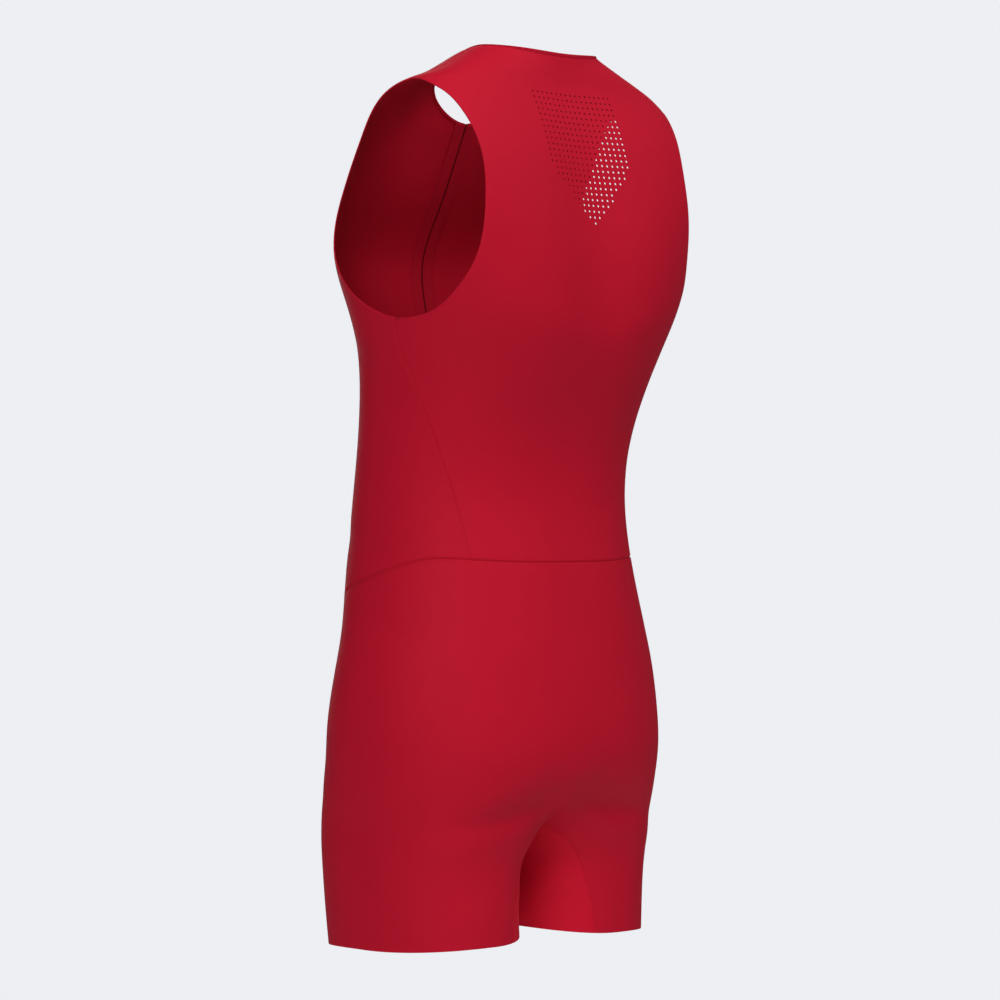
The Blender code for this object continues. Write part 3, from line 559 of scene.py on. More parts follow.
# level on the spine that each place of the back armhole is level with
SPINE_LEVELS = [-0.262, None, -0.248, -0.236, -0.222, -0.205, -0.180, -0.150, -0.118, -0.090, -0.068,
                -0.05, -0.037, -0.03]
pairs = [(np.interp(level, spine[1][:, 1], spine[0]), share_at(back_edge, place))
         for place, level in zip(ARMHOLE_BACK, SPINE_LEVELS) if level]
walk, spine_share, edge_share = paired(spine, back_edge, pairs)
hole_columns = HOLE_ACROSS * np.arange(HOLE_COLUMNS)
hole_rows = HOLE_TOP - HOLE_DOWN * np.arange(HOLE_ROWS)[::-1]
shield_lines = hole_lines(hole_rows[:, None]).ravel()
level_table = np.linspace(-0.5, 0, 400)
shield_levels = np.interp(shield_lines, ring("back", level_table), level_table)
shield_walk = np.interp(np.interp(shield_levels, spine[1][:, 1], spine[0]), spine_share, walk)
armhole_ends = walk[[1, -2]]
below = spaced([armhole_ends[0], shield_walk[0]], high=False)
above = spaced(np.array([armhole_ends[1], walk[-1]]) - shield_walk[-1], low=False) + shield_walk[-1]
rows = np.concatenate([below[:-1], shield_walk, above[1:]])
shield_columns = np.concatenate([hole_lines(0.0)[2:], hole_lines(hole_columns[1:, None]).ravel()])
BACK_WIDTH = 0.190
beyond = spaced(BACK_WIDTH - shield_columns[-1], low=False)[1:] + shield_columns[-1]
columns = np.concatenate([[0.0], shield_columns, beyond])
neck_angle = SHOULDER_SEAM[-1][0]
neck_half = np.stack([np.linspace(0, neck_angle, FINE), np.zeros(FINE)], 1)
places, across, width = laid_out(on_line(spine, np.interp(rows, walk, spine_share)),
                                 on_line(back_edge, np.interp(rows, walk, edge_share)),
                                 waist_seam(0, corner), neck_half, rows / walk[-1], columns, BACK_WIDTH,
                                 level_from=0.42, plain=0.0545)
points, normals = on_form(places)
sewn = np.where((rows <= armhole_ends[0] + 1e-6) | (rows >= armhole_ends[1] - 1e-6), 1.0, 0.0)
to_side = width[:, None] - across
sink = (sewn[:, None] * rolled(to_side, *SEAM)
        + (1 - sewn[:, None]) * rolled(to_side, *CUT)
        + rolled(rows, *WAIST)[:, None]
        + rolled(walk[-1] - rows, *CUT)[:, None])

# the punched holes: a block of three by three cells is taken out and its twelve corners are set on a
# circle; a hole on the spine is half a block, whose mirror image makes it whole
cells = np.ones((len(rows) - 1, len(columns) - 1), bool)
first_row = len(below) - 1
up_grain, round_body = [unit(np.gradient(points, axis=k)) for k in (0, 1)]
block = [(i, j) for i in range(4) for j in range(4) if i in (0, 3) or j in (0, 3)]
half_widths = np.interp(hole_rows, *np.array(SHIELD).T)
row_index, column_index = np.nonzero(hole_columns[None, :] < half_widths[:, None])
row_index = first_row + 4 * row_index
column_index = 4 * column_index - 1
for i in range(3):
    for j in range(3):
        fits = column_index + j >= 0
        cells[row_index[fits] + i, column_index[fits] + j] = False
for i, j in block:
    bearing = np.arctan2(HOLE_GRID[i], HOLE_GRID[j])
    snapped = np.radians(np.round((np.degrees(bearing) - 15) / 30) * 30 + 15)
    push = HOLE_RADIUS * (np.array([np.sin(snapped), np.cos(snapped)]) - HOLE_GRID[[i, j]])
    fits = column_index + j > 0
    at = (row_index[fits] + i, column_index[fits] + j)
    points[at] += up_grain[at] * push[0] + round_body[at] * push[1]
for i in (0, 3):
    at = (row_index[column_index < 0] + i, 0)
    push = HOLE_RADIUS * (np.sign(HOLE_GRID[i]) * np.cos(np.radians(15)) - HOLE_GRID[i])
    points[at] += up_grain[at] * push
punched = (np.clip((THIN_HALF - across) / THIN_FADE, 0, 1)
           * np.clip((points[..., 2] - THIN_FOOT) / THIN_FADE_UP, 0, 1))
thick = CLOTH + (CLOTH_PUNCHED - CLOTH) * punched

back_paint = knit("back_knit", RED)
quads = grid_quads(len(rows), len(columns))[cells]
points = tucked(points - normals * sink[..., None], right=sewn * TUCK, foot=TUCK)
back_shape = join_halves(points, normals, quads, thick, across, points[..., 2])
back_cloth = cloth_piece("back_bodice_cloth", *back_shape, back_paint)
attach(back_cloth, "suit")
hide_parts("back_bodice")

# Front bodices
# Left and right, in the same knit, each wrapped round the side to the shaped seam on the back and
# turned in along the zip. Below the zip they are sewn to each other.
ZIP_HALF_GAP = 0.0032
ZIP_END_LEVEL = -0.355
FRONT_WIDTH = 0.260


def zip_angle(level, from_middle):
    """Angle in front that lies this far from the middle."""
    return 180 - np.degrees(from_middle / ring("reach", level))


def one_side(name, flip, points, normals, thick, across, up, paint):
    """Piece on the left side, or with flip at -1 its mirror image on the right."""
    faces = grid_quads(*points.shape[:2]).reshape(-1, 4)[:, ::flip]
    pattern = np.stack(np.broadcast_arrays(across * flip, up), -1).reshape(-1, 2)
    points, normals = [(given * [flip, 1, 1]).reshape(-1, 3) for given in (points, normals)]
    return cloth_piece(name, points, normals, faces, np.full(len(pattern), thick), pattern, paint)


front_edge = sewing_line(SIDE_SEAM[::-1], ARMHOLE_FRONT, SHOULDER_SEAM)
front_low = waist_levels[-1]
zip_levels = np.linspace(ZIP_END_LEVEL, 0, 9)
zip_side = np.stack([zip_angle(zip_levels, ZIP_HALF_GAP), zip_levels], 1)
middle_line = sewing_line([(180, front_low), (180, front_low / 2 + ZIP_END_LEVEL / 2),
                           (180, ZIP_END_LEVEL - 0.004)], zip_side)
# level at the zip that each place of the front armhole is level with
ZIP_LEVELS = [-0.270, None, None, -0.245, None, -0.208, None, -0.156, -0.122, -0.088, -0.060, -0.040,
              -0.025]
pairs = [(share_at(front_edge, place), np.interp(level, middle_line[1][:, 1], middle_line[0]))
         for place, level in zip(ARMHOLE_FRONT, ZIP_LEVELS) if level]
walk, edge_share, zip_share = paired(front_edge, middle_line, pairs)
armhole_ends = walk[[1, -2]]
rows = spaced([*armhole_ends, walk[-1]])
columns = spaced(FRONT_WIDTH)
neck_half = np.stack([np.linspace(neck_angle, middle_line[1][-1, 0], FINE), np.zeros(FINE)], 1)
places, across, width = laid_out(on_line(front_edge, np.interp(rows, walk, edge_share)),
                                 on_line(middle_line, np.interp(rows, walk, zip_share)),
                                 waist_seam(corner, 180), neck_half, rows / walk[-1], columns,
                                 FRONT_WIDTH)
points, normals = on_form(places)
sewn = np.where((rows <= armhole_ends[0] + 1e-6) | (rows >= armhole_ends[1] - 1e-6), 1.0, 0.0)
sink = (sewn[:, None] * rolled(across, *SEAM)
        + (1 - sewn[:, None]) * rolled(across, *CUT)
        + rolled(width[:, None] - across, *SEAM)
        + rolled(rows, *WAIST)[:, None]
        + rolled(walk[-1] - rows, *CUT)[:, None])
below_zip = places[:, -1, 1] < ZIP_END_LEVEL - 0.002
points = tucked(points - normals * sink[..., None], left=sewn * TUCK, right=below_zip * TUCK, foot=TUCK)
front_paint = knit("front_knit", RED)
for side, flip in (("left", 1), ("right", -1)):
    piece = one_side("front_bodice_" + side + "_cloth", flip, points, normals, CLOTH,
                     across - width[:, None], points[..., 2], front_paint)
    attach(piece, "suit")
    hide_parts("front_bodice_" + side)

# Shorts
# One piece wrapped round both thighs and sewn up at the centre front; the hems are cut clean.
GUSSET_SEAM = [(-44.3, -0.7340), (-39.0, -0.7409), (-34.1, -0.7538), (-30.0, -0.7700), (-26.2, -0.7870),
               (-23.1, -0.8058), (-20.4, HEM)]
GUSSET_START = -0.7265
SHORTS_WIDTH = 0.46


def middle_angle(level):
    """Angle on the back at which the left half meets the middle of the body, by halving."""
    level = np.atleast_1d(np.asarray(level, float))
    low = np.full(level.shape, -90.0)
    high = np.zeros(level.shape)
    for _ in range(40):
        mid = (low + high) / 2
        beyond_middle = form(mid, level)[..., 0] < 0
        low = np.where(beyond_middle, mid, low)
        high = np.where(beyond_middle, high, mid)
    return (low + high) / 2


start_angle = float(middle_angle(GUSSET_START)[0])
gusset_line = sewing_line([(start_angle, GUSSET_START)] + GUSSET_SEAM)
seat_levels = np.linspace(GUSSET_START, waist_middle, 400)
seat_line = measured(np.stack([middle_angle(seat_levels), seat_levels], 1))
back_side = measured(np.concatenate([gusset_line[1][::-1], seat_line[1][1:]]))
belly_levels = np.linspace(GUSSET_START, front_low, 400)
belly_line = measured(np.stack([180 - middle_angle(belly_levels), belly_levels], 1))
front_gusset = np.stack([180 - gusset_line[1][:, 0], gusset_line[1][:, 1]], 1)
front_side = measured(np.concatenate([front_gusset[::-1], belly_line[1][1:]]))
back_turn = gusset_line[2] / back_side[2]
front_turn = gusset_line[2] / front_side[2]
rows = spaced(back_side[2]) / back_side[2]
turn_row = rows[np.abs(rows - back_turn).argmin()]
hem_end = gusset_line[1][-1, 0]
hem_line = np.stack([np.linspace(hem_end, 180 - hem_end, FINE), np.full(FINE, HEM)], 1)
columns = np.concatenate([[0.0], spaced(SHORTS_WIDTH)])
turns = [0, turn_row, 1]
places, across, width = laid_out(on_line(back_side, np.interp(rows, turns, [0, back_turn, 1])),
                                 on_line(front_side, np.interp(rows, turns, [0, front_turn, 1])),
                                 hem_line, waist_seam(0, 180), rows, columns, SHORTS_WIDTH)
points, normals = on_form(places)
legs = (rows < turn_row)[:, None]
to_front = width[:, None] - across
sink = (legs * rolled(across, *SEAM) + rolled(to_front, *SEAM)
        + rolled((1 - rows) * back_side[2], *WAIST)[:, None]
        + rolled(rows * back_side[2], *CUT)[:, None])
points = tucked(points - normals * sink[..., None], left=legs[:, 0] * TUCK, right=TUCK, head=TUCK)
shorts_paint = knit("shorts_knit", RED)
shorts_shape = join_halves(points, normals, grid_quads(len(rows), len(columns)), CLOTH,
                           across - width[:, None] / 2, points[..., 2])
shorts_cloth = cloth_piece("shorts_cloth", *shorts_shape, shorts_paint)
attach(shorts_cloth, "suit")
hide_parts("shorts_panel")

# Inner leg gusset
# One piece that runs under the body and down the inside of both thighs; its lighter red is painted light.
GUSSET_WIDTH = 0.17
GUSSET_STEP = 0.004
under_levels = CROTCH + (GUSSET_START - CROTCH) * np.linspace(0, 1, 120) ** 2
under_angles = middle_angle(np.clip(under_levels, CROTCH + 1e-6, None))
under_back = np.stack([360 + under_angles, under_levels], 1)
under_front = np.stack([180 - under_angles, under_levels], 1)
under_line = measured(np.concatenate([under_front[::-1], [[270.0, CROTCH]], under_back[1:]]))
rows = spaced(gusset_line[2], GUSSET_STEP, high=False) / gusset_line[2]
columns = spaced(GUSSET_WIDTH, GUSSET_STEP)
front_leg = on_line(measured(front_gusset[::-1]), rows)
back_leg = on_line(measured((gusset_line[1] + [360, 0])[::-1]), rows)
inner_hem = np.stack([np.linspace(180 - hem_end, 360 + hem_end, FINE), np.full(FINE, HEM)], 1)
places, across, width = laid_out(front_leg, back_leg, inner_hem,
                                 on_line(under_line, np.linspace(0, 1, FINE)), rows, columns,
                                 GUSSET_WIDTH)
points, normals = on_form(places)
# the top row lies on the middle of the body, where the two halves of the piece meet
points[-1, :, 0] = 0
normals[-1, :, 0] = 0
normals = unit(normals)
to_back = width[:, None] - across
sink = (rolled(across, *SEAM) + rolled(to_back, *SEAM)
        + rolled(rows * gusset_line[2], *CUT)[:, None])
points = tucked(points - normals * sink[..., None], left=TUCK, right=TUCK)
# the gusset's red is painted lighter than the other panels' red: painted light where it faces the lamps
gusset_with_painted_light = knit("gusset_knit", (0.700, 0.0090, 0.0330), 0.56)
gusset_shape = join_halves(points, normals, grid_quads(len(rows), len(columns)), CLOTH,
                           across - width[:, None] / 2, points[..., 2])
gusset_cloth = cloth_piece("inner_leg_gusset_cloth", *gusset_shape, gusset_with_painted_light)
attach(gusset_cloth, "suit")
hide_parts("inner_leg_gusset")

# Neckband
# A narrow strip of the same knit, folded over the neck edge from the left side of the zip round the back
# to the right side, and stitched through near its foot.
BAND_LEAN = 0.60
BAND_CLOTH = 0.00035
# fold of the strip, from its outer foot over the top to its inner foot: height above the neck edge, and
# distance out from the middle of the cloth
BAND_FOLD = np.array([(-0.0012, 0.00072), (0.0003, 0.00078), (0.0018, 0.00082), (0.0030, 0.00072),
                      (0.00365, 0.0003), (0.00365, -0.0003), (0.003, -0.00068), (0.0016, -0.00078),
                      (0.0002, -0.00076), (-0.001, -0.00072)])
BAND_STITCH = 0.0002
# share of that height at the back and front, and how much less of it over the shoulders
BAND_LOW = 0.72
BAND_DIP = 0.34


def neck_frame(angles):
    """Places on the neck edge, and four directions at each: out of the cloth, up along the cloth, the
    leaning way that the strip stands, and the direction square to that."""
    foot, out = form(angles, 0.0), facing(angles, 0.0)
    along = unit(foot - form(angles, -0.002))
    up = unit(along * (1 - BAND_LEAN) + np.array([0, 0, BAND_LEAN]))
    return foot, out, along, up, unit(out - up * (out * up).sum(-1, keepdims=True))


def at_neck(angles, height, distance):
    """Points round the neck at heights above its edge and distances out from the middle of its cloth.
    Below the edge they follow the panels, and above it they lean by a part of the way towards upright.
    The strip is pulled lower over the shoulders than at the back and front."""
    foot, out, along, up, away = neck_frame(angles)
    share = BAND_LOW - BAND_DIP * np.exp(-((angles - 72.0) / 30.0) ** 2)
    height = np.reshape(height, (-1, 1, 1)) * share[:, None]
    distance = np.reshape(distance, (-1, 1, 1))
    lean = np.clip(height / 0.0012, 0, 1)
    lean = lean ** 2 * (3 - 2 * lean)
    return (foot - out * CLOTH / 2 + (along * (1 - lean) + up * lean) * height
            + (out * (1 - lean) + away * lean) * distance)


def grid_normals(points):
    """Outward direction of a grid whose rows run upward and whose columns run round the body."""
    return unit(np.cross(np.gradient(points, axis=0), np.gradient(points, axis=1)))


def tube_faces(rows, columns, start=0, closed=False):
    """Faces of a tube of rings of points, its ends capped, or its last ring met with its first."""
    r, c = np.meshgrid(np.arange(rows if closed else rows - 1), np.arange(columns), indexing="ij")
    after, next_to = (r + 1) % rows, (c + 1) % columns
    faces = start + np.stack([r * columns + c, r * columns + next_to, after * columns + next_to,
                              after * columns + c], -1).reshape(-1, 4)
    if closed:
        return faces.tolist()
    ends = start + np.array([np.arange(columns)[::-1], np.arange(columns) + (rows - 1) * columns])
    return faces.tolist() + ends.tolist()


def repeated(faces, count, points):
    """Faces of a shape again and again, each time on the next so many points."""
    return [[i + k * points for i in face] for k in range(count) for face in faces]


def stitches(name, points, normals, long, pitch, gauge, paint):
    """Row of stitches along one or more lines. Each is a thread of six sides that comes out of the cloth,
    runs on it and goes back in: its middle follows the line, lifted by its gauge times a sine arch."""
    arch = np.linspace(0, 1, 5)
    lift = gauge * (0.95 * np.sin(np.pi * arch) ** 0.7 - 0.45)
    around = np.arange(6) * np.pi / 3
    found = []
    for line, ways in zip(points, normals):
        gone = run(line)
        count = int(gone[-1] / pitch)
        centres = (np.arange(count) + 0.5) * gone[-1] / count
        at = centres[:, None] + (arch - 0.5) * long
        middle, out = [np.stack([np.interp(at, gone, given[:, k]) for k in range(3)], -1)
                       for given in (line, ways)]
        out = unit(out)
        across = unit(np.cross(out, np.gradient(middle, axis=1)))
        middle = middle + out * lift[:, None]
        found.append(middle[:, :, None] + gauge / 2 * (out[:, :, None] * np.sin(around)[:, None]
                                                       + across[:, :, None] * np.cos(around)[:, None]))
    rings = np.concatenate(found)
    made = placed(name, rings, repeated(tube_faces(5, 6), len(rings), 30), paint)
    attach(made, "suit")
    return made


def thread(name, colour):
    """Twisted polyester thread, a shade deeper than the cloth, with fine plies across it."""
    made, tree, shader = new_material(name)
    plug(tree, shader, {"Base Color": two_tone(tree, colour, 0.85, 1.15, noise(tree, 2600, 1)),
                        "Roughness": 0.5, "Specular IOR Level": 0.15})
    return made


def mirrored(lines):
    """Lines with their mirror images on the right side."""
    return [*lines, *[line * [-1, 1, 1] for line in lines]]


fold = run(BAND_FOLD)
fold_at = spaced(fold[-1], 0.0005)
fold_up, fold_out = [smooth_curve(fold, values, fold_at) for values in BAND_FOLD.T]
band_angles = np.linspace(0, middle_line[1][-1, 0], 150)
band = at_neck(band_angles, fold_up, fold_out)
band_round = run(band[0])
neckband_paint = knit("neckband_knit", RED_DEEP, 0.62)
band_shape = join_halves(band, grid_normals(band), grid_quads(len(fold_at), len(band_angles)), BAND_CLOTH,
                         band_round[None, :], fold_at[:, None])
neckband_cloth = cloth_piece("neckband_cloth", *band_shape, neckband_paint)
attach(neckband_cloth, "suit")
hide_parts("neckband")
seam_thread = thread("seam_thread", RED_DEEP)
band_line = at_neck(band_angles, [BAND_STITCH], [0.00082])[0]
neck_stitches = stitches("neckband_stitches", mirrored([band_line]), mirrored([facing(band_angles, 0.0)]),
                         0.002, 0.0027, 0.00028, seam_thread)

# Zip tapes
# Two woven tapes dyed to match, one behind each front, sewn to it in a line near the zip. They carry
# the coil, and their heads are caught in the neckband.
TAPE_HALF = 0.0130
TAPE_BACK = 0.00125
TAPE_CLOTH = 0.00035
TAPE_STITCH = 0.0068
TAPE_GAP = 0.00012
TAPE_HEAD = [0.0, 0.0008, 0.0016, 0.0024, 0.0032]
zip_rows = np.linspace(-0.001, ZIP_END_LEVEL + 0.001, 150)[::-1]


def down_zip(from_middle, levels):
    """Points and outward directions at given distances to the left of the middle of the chest."""
    turned = zip_angle(levels, from_middle)
    return form(turned, levels), facing(turned, levels)


def woven(name, colour, dark_strip):
    """Woven tape: a fine twill, as a slanting ripple 0.5 mm wide over both directions of the tape, and a
    strip of the given width along the coil that is much darker."""
    made, tree, shader = new_material(name)
    grain = node_out(tree, "UVMap", uv_map="grain")
    slant = node_out(tree, "VectorMath", {0: grain, 1: (2 * np.pi / 0.0005, 2 * np.pi / 0.0007, 0)},
                     "Value", operation="DOT_PRODUCT")
    wave = node_out(tree, "Math", {0: slant}, operation="SINE")
    half = node_out(tree, "MapRange", {"Value": wave, "From Min": -1})
    sideways = node_out(tree, "SeparateXYZ", {0: grain}, "X")
    away = node_out(tree, "Math", {0: sideways}, operation="ABSOLUTE")
    # within the given width of the coil the tape's colour is darkened to about a fifth
    dark = node_out(tree, "MapRange", {"Value": away, "From Min": dark_strip * 0.8,
                                       "From Max": dark_strip * 1.2, "To Min": 0.22})
    shade = node_out(tree, "Mix", {"A": two_tone(tree, colour, 0.82, 1.10, half), "B": dark, "Factor": 1},
                     "Result", data_type="RGBA", blend_type="MULTIPLY")
    plug(tree, shader, {"Base Color": shade, "Normal": bumped(tree, wave, 0.4, 0.00008),
                        "Roughness": 0.7, "Specular IOR Level": 0.1})
    return made


tape_across = np.concatenate([[TAPE_GAP, TAPE_GAP + 0.0002],
                              np.linspace(TAPE_GAP + 0.0005, TAPE_HALF - 0.001, 12),
                              [TAPE_HALF - 0.0004, TAPE_HALF]])[::-1]
points, normals = down_zip(tape_across[None, :], zip_rows[:, None])
points = np.concatenate([points - normals * TAPE_BACK,
                         at_neck(zip_angle(0.0, tape_across), TAPE_HEAD, CLOTH / 2 - TAPE_BACK)])
normals = grid_normals(points)
zip_rows = np.concatenate([zip_rows, TAPE_HEAD])
tape_paint = woven("zip_tape_weave", (0.600, 0.0085, 0.0310), 0.0009)
for side, flip in (("left", 1), ("right", -1)):
    tape = one_side("zip_tape_" + side + "_weave", flip, points, normals, TAPE_CLOTH,
                    tape_across[None, :], zip_rows[:, None], tape_paint)
    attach(tape, "suit")
    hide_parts("zip_tape_" + side)
line, ways = down_zip(np.full(200, TAPE_STITCH), np.linspace(-0.003, ZIP_END_LEVEL + 0.002, 200))
zip_stitches = stitches("zip_stitches", mirrored([line]), mirrored([ways]), 0.0021, 0.0028, 0.00030,
                        seam_thread)

# Zip coil
# Nylon coil on the two tapes: teeth reach over from either side by turns and lock at the middle, and part
# above the slider. Its foot ends where the fronts are sewn together.
COIL_HALF = 0.0027
COIL_PITCH = 0.00130
COIL_PARTING = 0.42
TOOTH_RADIUS = 0.00029
SLIDER_LEVEL = -0.014
# tooth from its foot on the tape round the bend to its head: distance from the middle, share of the full
# radius, and lift out of the zip
TOOTH = np.array([(0.00090, 0.35, -0.00080), (0.00210, 1.00, -0.00080), (0.00250, 1.00, -0.00040),
                  (0.0021, 1.0, 0.0), (0.0002, 1.0, 0.0), (-0.0005, 1.25, 0.0),
                  (-0.0009, 1.0, 0.0), (-0.00108, 0.2, 0.0)])


def zip_frame(level):
    """Place on the middle of the zip, and its three directions: across, out of the chest, up the zip."""
    root, out = form(180.0, level), facing(180.0, level)
    out = unit(out * [0, 1, 1])
    return root, np.broadcast_to([-1.0, 0.0, 0.0], out.shape), out, np.cross([-1.0, 0.0, 0.0], out)


def hard_piece(name, points, faces, paint, body):
    """Closed hard shapes as one piece, with their faces turned outward."""
    made = placed(name, points, faces, paint)
    shell = bmesh.new()
    shell.from_mesh(made.data)
    bmesh.ops.recalc_face_normals(shell, faces=shell.faces)
    shell.to_mesh(made.data)
    shell.free()
    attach(made, body)
    return made


def moulded(name, colour, roughness, coat=0.0):
    """Dyed nylon or lacquered metal: the colour and gloss drift a little over a few millimetres, and a
    fine grain roughens the surface."""
    made, tree, shader = new_material(name)
    drift = noise(tree, 420, 3)
    plug(tree, shader, {"Base Color": two_tone(tree, colour, 0.88, 1.12, drift),
                        "Roughness": drifting(tree, roughness, 0.08, drift),
                        "Normal": bumped(tree, noise(tree, 3000), 0.15, 0.00003),
                        "Coat Weight": coat, "Coat Roughness": 0.22})
    return made


tooth_levels = np.arange(-0.002, ZIP_END_LEVEL + 0.005, -COIL_PITCH / 2)
tooth_side = np.where(np.arange(len(tooth_levels)) % 2 == 0, 1.0, -1.0)[:, None, None]
parted = np.clip((tooth_levels - SLIDER_LEVEL) / 0.010, 0, 1)[:, None, None]
root, sideways, outward, upward = [v[:, None, None] for v in zip_frame(tooth_levels)]
around = np.arange(6) * np.pi / 3
girth = TOOTH_RADIUS * TOOTH[:, 1, None]
reach_step, lift_step = np.gradient(TOOTH[:, 0]), np.gradient(TOOTH[:, 2])
step_size = np.hypot(reach_step, lift_step)
from_middle = TOOTH[:, 0, None] - (lift_step / step_size)[:, None] * girth * np.sin(around)
lifted = TOOTH[:, 2, None] + (reach_step / step_size)[:, None] * girth * np.sin(around)
# above the slider the two rows draw back towards their tapes
from_middle = COIL_HALF - (COIL_HALF - from_middle) * (1 - COIL_PARTING * parted)
teeth = (root + sideways * (from_middle * tooth_side)[..., None] + outward * lifted[..., None]
         + upward * (girth * np.cos(around))[..., None])
tooth_faces = repeated(tube_faces(len(TOOTH), 6), len(teeth), len(TOOTH) * 6)
coil_paint = moulded("zip_coil_nylon", (0.330, 0.0060, 0.0180), 0.42)
coil = hard_piece("zip_coil_teeth", teeth, tooth_faces, coil_paint, "suit")
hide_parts("zip_coil")

# Slider
# A small lacquered slider near the top of the coil, wide where the rows part, with a bridge over its
# plate that the pull tab hangs on.
SLIDER_LENGTH = 0.0100
SLIDER_WIDE = 0.0078
SLIDER_NARROW = 0.0058
SLIDER_THICK = 0.0016
SLIDER_EDGE = 0.0005
PLATE_TOP = 0.0028
BRIDGE_HALF = 0.0034
BRIDGE_BAR = 0.0008
BRIDGE_WIDTH = 0.0016
BRIDGE_CLEAR = 0.0024
slider_place = zip_frame(SLIDER_LEVEL)


def on_zip(place, across, out, up):
    """Points given across the zip, out of the chest and up the zip, from a place on it."""
    across, out, up = (v[..., None] for v in np.broadcast_arrays(across, out, up))
    return place[0] + place[1] * across + place[2] * out + place[3] * up


def rounded(turn, width, top, foot, power):
    """Outline of a rounded plate: a squared ellipse between its top and its foot."""
    sn, cs = np.sin(turn), np.cos(turn)
    reach = (np.abs(cs) ** power + np.abs(sn) ** power) ** (-1 / power)
    return width / 2 * cs * reach, (top + foot) / 2 + (top - foot) / 2 * sn * reach


turn = np.arange(64) * np.pi / 32
corner_turn = np.linspace(0, np.pi / 2, 6)
plate_rim = np.concatenate([[(SLIDER_EDGE, 0.0), (SLIDER_EDGE * 0.3, 0.00008), (0.0, 0.0003)],
                            np.stack([SLIDER_EDGE * (1 - np.cos(corner_turn)),
                                      SLIDER_THICK - SLIDER_EDGE * (1 - np.sin(corner_turn))], 1),
                            [(0.0012, SLIDER_THICK + 0.00006), (0.0022, SLIDER_THICK + 0.0001)]])
inset, lift = plate_rim[:, :1], plate_rim[:, 1:]
across, up = rounded(turn[None], SLIDER_WIDE * 0.93 - 2 * inset, SLIDER_LENGTH / 2 - inset,
                     -SLIDER_LENGTH / 2 + inset, 3.4)
across *= 1 + (SLIDER_WIDE - SLIDER_NARROW) / SLIDER_WIDE * np.clip(up / SLIDER_LENGTH, -0.5, 0.35)
plate = on_zip(slider_place, across, PLATE_TOP - SLIDER_THICK + lift, up)
bridge_turn = np.linspace(0, np.pi, 21)
sn, cs = np.sin(bridge_turn), np.cos(bridge_turn)
reach = (np.abs(cs) ** 3 + np.abs(sn) ** 3) ** (-1 / 3)
bridge_up = BRIDGE_HALF * cs * reach
bridge_lift = (BRIDGE_CLEAR + BRIDGE_BAR / 2 + 0.0003) * sn * reach - 0.0003
ring_turn = np.arange(16) * np.pi / 8
section = (np.abs(np.cos(ring_turn)) ** 4 + np.abs(np.sin(ring_turn)) ** 4) ** -0.25
along_up, along_lift = np.gradient(bridge_up), np.gradient(bridge_lift)
size = np.hypot(along_up, along_lift)
thickness = BRIDGE_BAR / 2 * np.sin(ring_turn) * section
bridge = on_zip(slider_place, (BRIDGE_WIDTH / 2 * np.cos(ring_turn) * section)[None],
                PLATE_TOP + bridge_lift[:, None] - (along_up / size)[:, None] * thickness,
                bridge_up[:, None] + (along_lift / size)[:, None] * thickness)
slider_paint = moulded("zip_lacquer", (0.380, 0.0070, 0.0200), 0.30, coat=0.35)
slider_points = np.concatenate([plate.reshape(-1, 3), bridge.reshape(-1, 3)])
slider_faces = tube_faces(len(plate_rim), len(turn)) + tube_faces(21, 16, plate[..., 0].size)
slider = hard_piece("zip_slider_body", slider_points, slider_faces, slider_paint, "suit")
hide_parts("zip_slider")

# Pull tab
# A flat lacquered tab with a window at its head, hung on the slider's bridge so that it swings up and
# down.
TAB_LENGTH = 0.0240
TAB_WIDTH = 0.0052
TAB_THICK = 0.0010
TAB_WINDOW = 0.0023
TAB_WINDOW_LENGTH = 0.0062
TAB_EDGE = 0.00030
axis_lift = PLATE_TOP + BRIDGE_CLEAR / 2
quarter = np.linspace(0, np.pi / 2, 5)
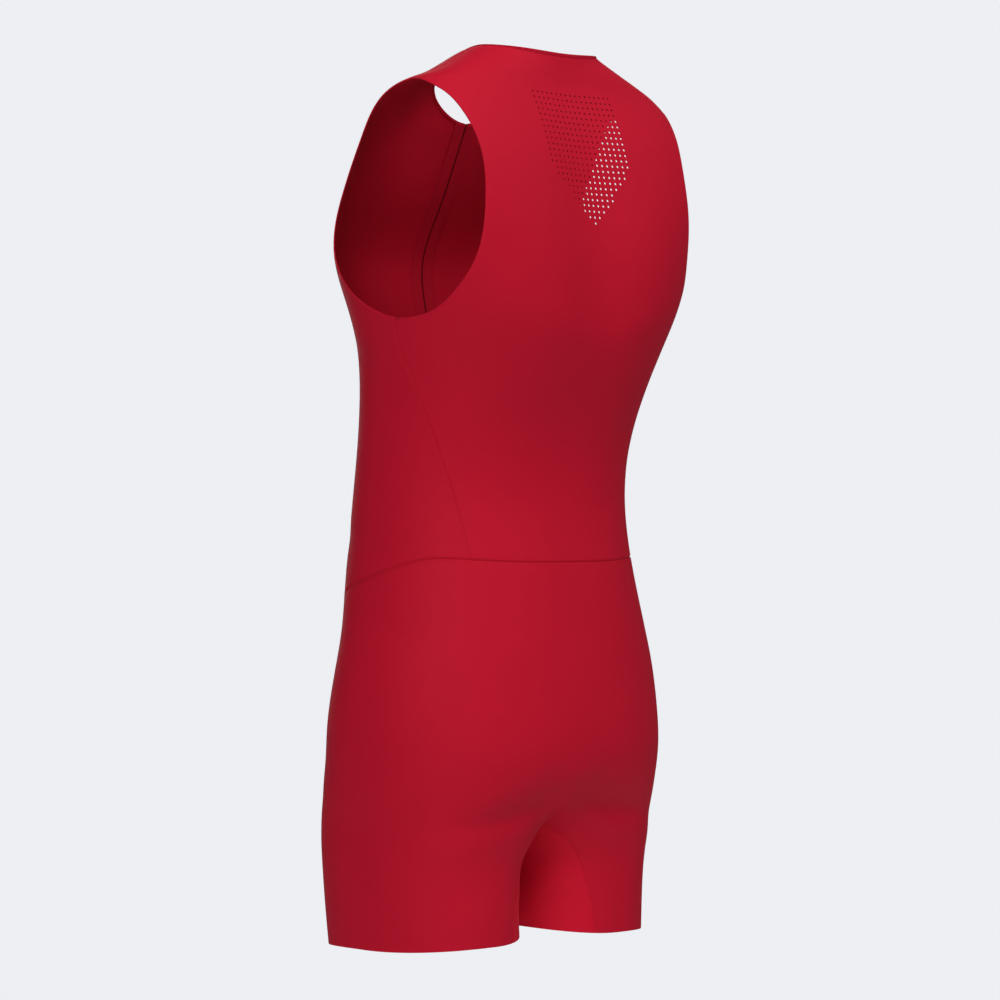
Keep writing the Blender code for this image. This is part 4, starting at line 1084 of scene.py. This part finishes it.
# rounding of an edge from the wall to the face: inset from the outline, and height
edge = np.stack([TAB_EDGE * (1 - np.cos(quarter)), TAB_THICK / 2 - TAB_EDGE * (1 - np.sin(quarter))], 1)
rim = np.concatenate([edge[::-1] * [1, -1], edge])
inset, lift = rim[:, :1], rim[:, 1:]
outer = rounded(turn[None], TAB_WIDTH - 2 * inset, TAB_THICK / 2 - inset, -TAB_LENGTH + inset, 6)
inner = rounded(turn[None], TAB_WINDOW + 2 * inset, -TAB_THICK / 2 + inset, -TAB_WINDOW_LENGTH - inset, 6)
tab_rings = np.concatenate([on_zip(slider_place, outer[0], axis_lift + lift, outer[1]),
                            on_zip(slider_place, inner[0], axis_lift + lift, inner[1])[::-1]])
tab_paint = moulded("pull_tab_lacquer", (0.380, 0.0070, 0.0200), 0.34, coat=0.25)
tab = hard_piece("zip_pull_tab_link", tab_rings, tube_faces(len(tab_rings), len(turn), closed=True),
                 tab_paint, "pull_tab")
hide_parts("zip_pull_tab")

# Seam threads
# Flat stretch seams, sewn with a row of short stitches on either side in thread of the cloth's colour.
# They run down the sides, over the shoulders, round the waist and the legs, and up the front to the zip.
SEAM_AWAY = 0.0016


def beside(places, away):
    """Points and outward directions along a seam, on both sides of it at the given distance."""
    middle, out = on_form(places)
    across = unit(np.cross(out, np.gradient(middle, axis=0)))
    return [middle + across * away, middle - across * away], [out, out]


def seam_stitches(name, seams):
    """Both rows of stitches of some seams, and of their mirror images."""
    lines, outs = [], []
    for places, both in seams:
        found, ways = beside(places, SEAM_AWAY)
        lines += mirrored(found) if both else found
        outs += mirrored(ways) if both else ways
    made = stitches(name, lines, outs, 0.0017, 0.0026, 0.00024, seam_thread)


side_line = sewing_line(SIDE_SEAM[::-1])[1]
seam_stitches("side_seam_stitches", [(side_line[6:-10], True)])
shoulder_line = sewing_line(SHOULDER_SEAM)[1]
seam_stitches("shoulder_seam_stitches", [(shoulder_line[10:-15], True)])
seam_stitches("waist_seam_stitches", [(waist_seam(0, 180), True)])
seam_stitches("leg_seam_stitches", [(gusset_line[1][30:-6], True), (front_gusset[30:-6], True)])
zip_foot = middle_line[1][middle_line[1][:, 1] < ZIP_END_LEVEL - 0.006]
seam_stitches("front_seam_stitches", [(zip_foot[4:], False), (belly_line[1][8:-4], False)])
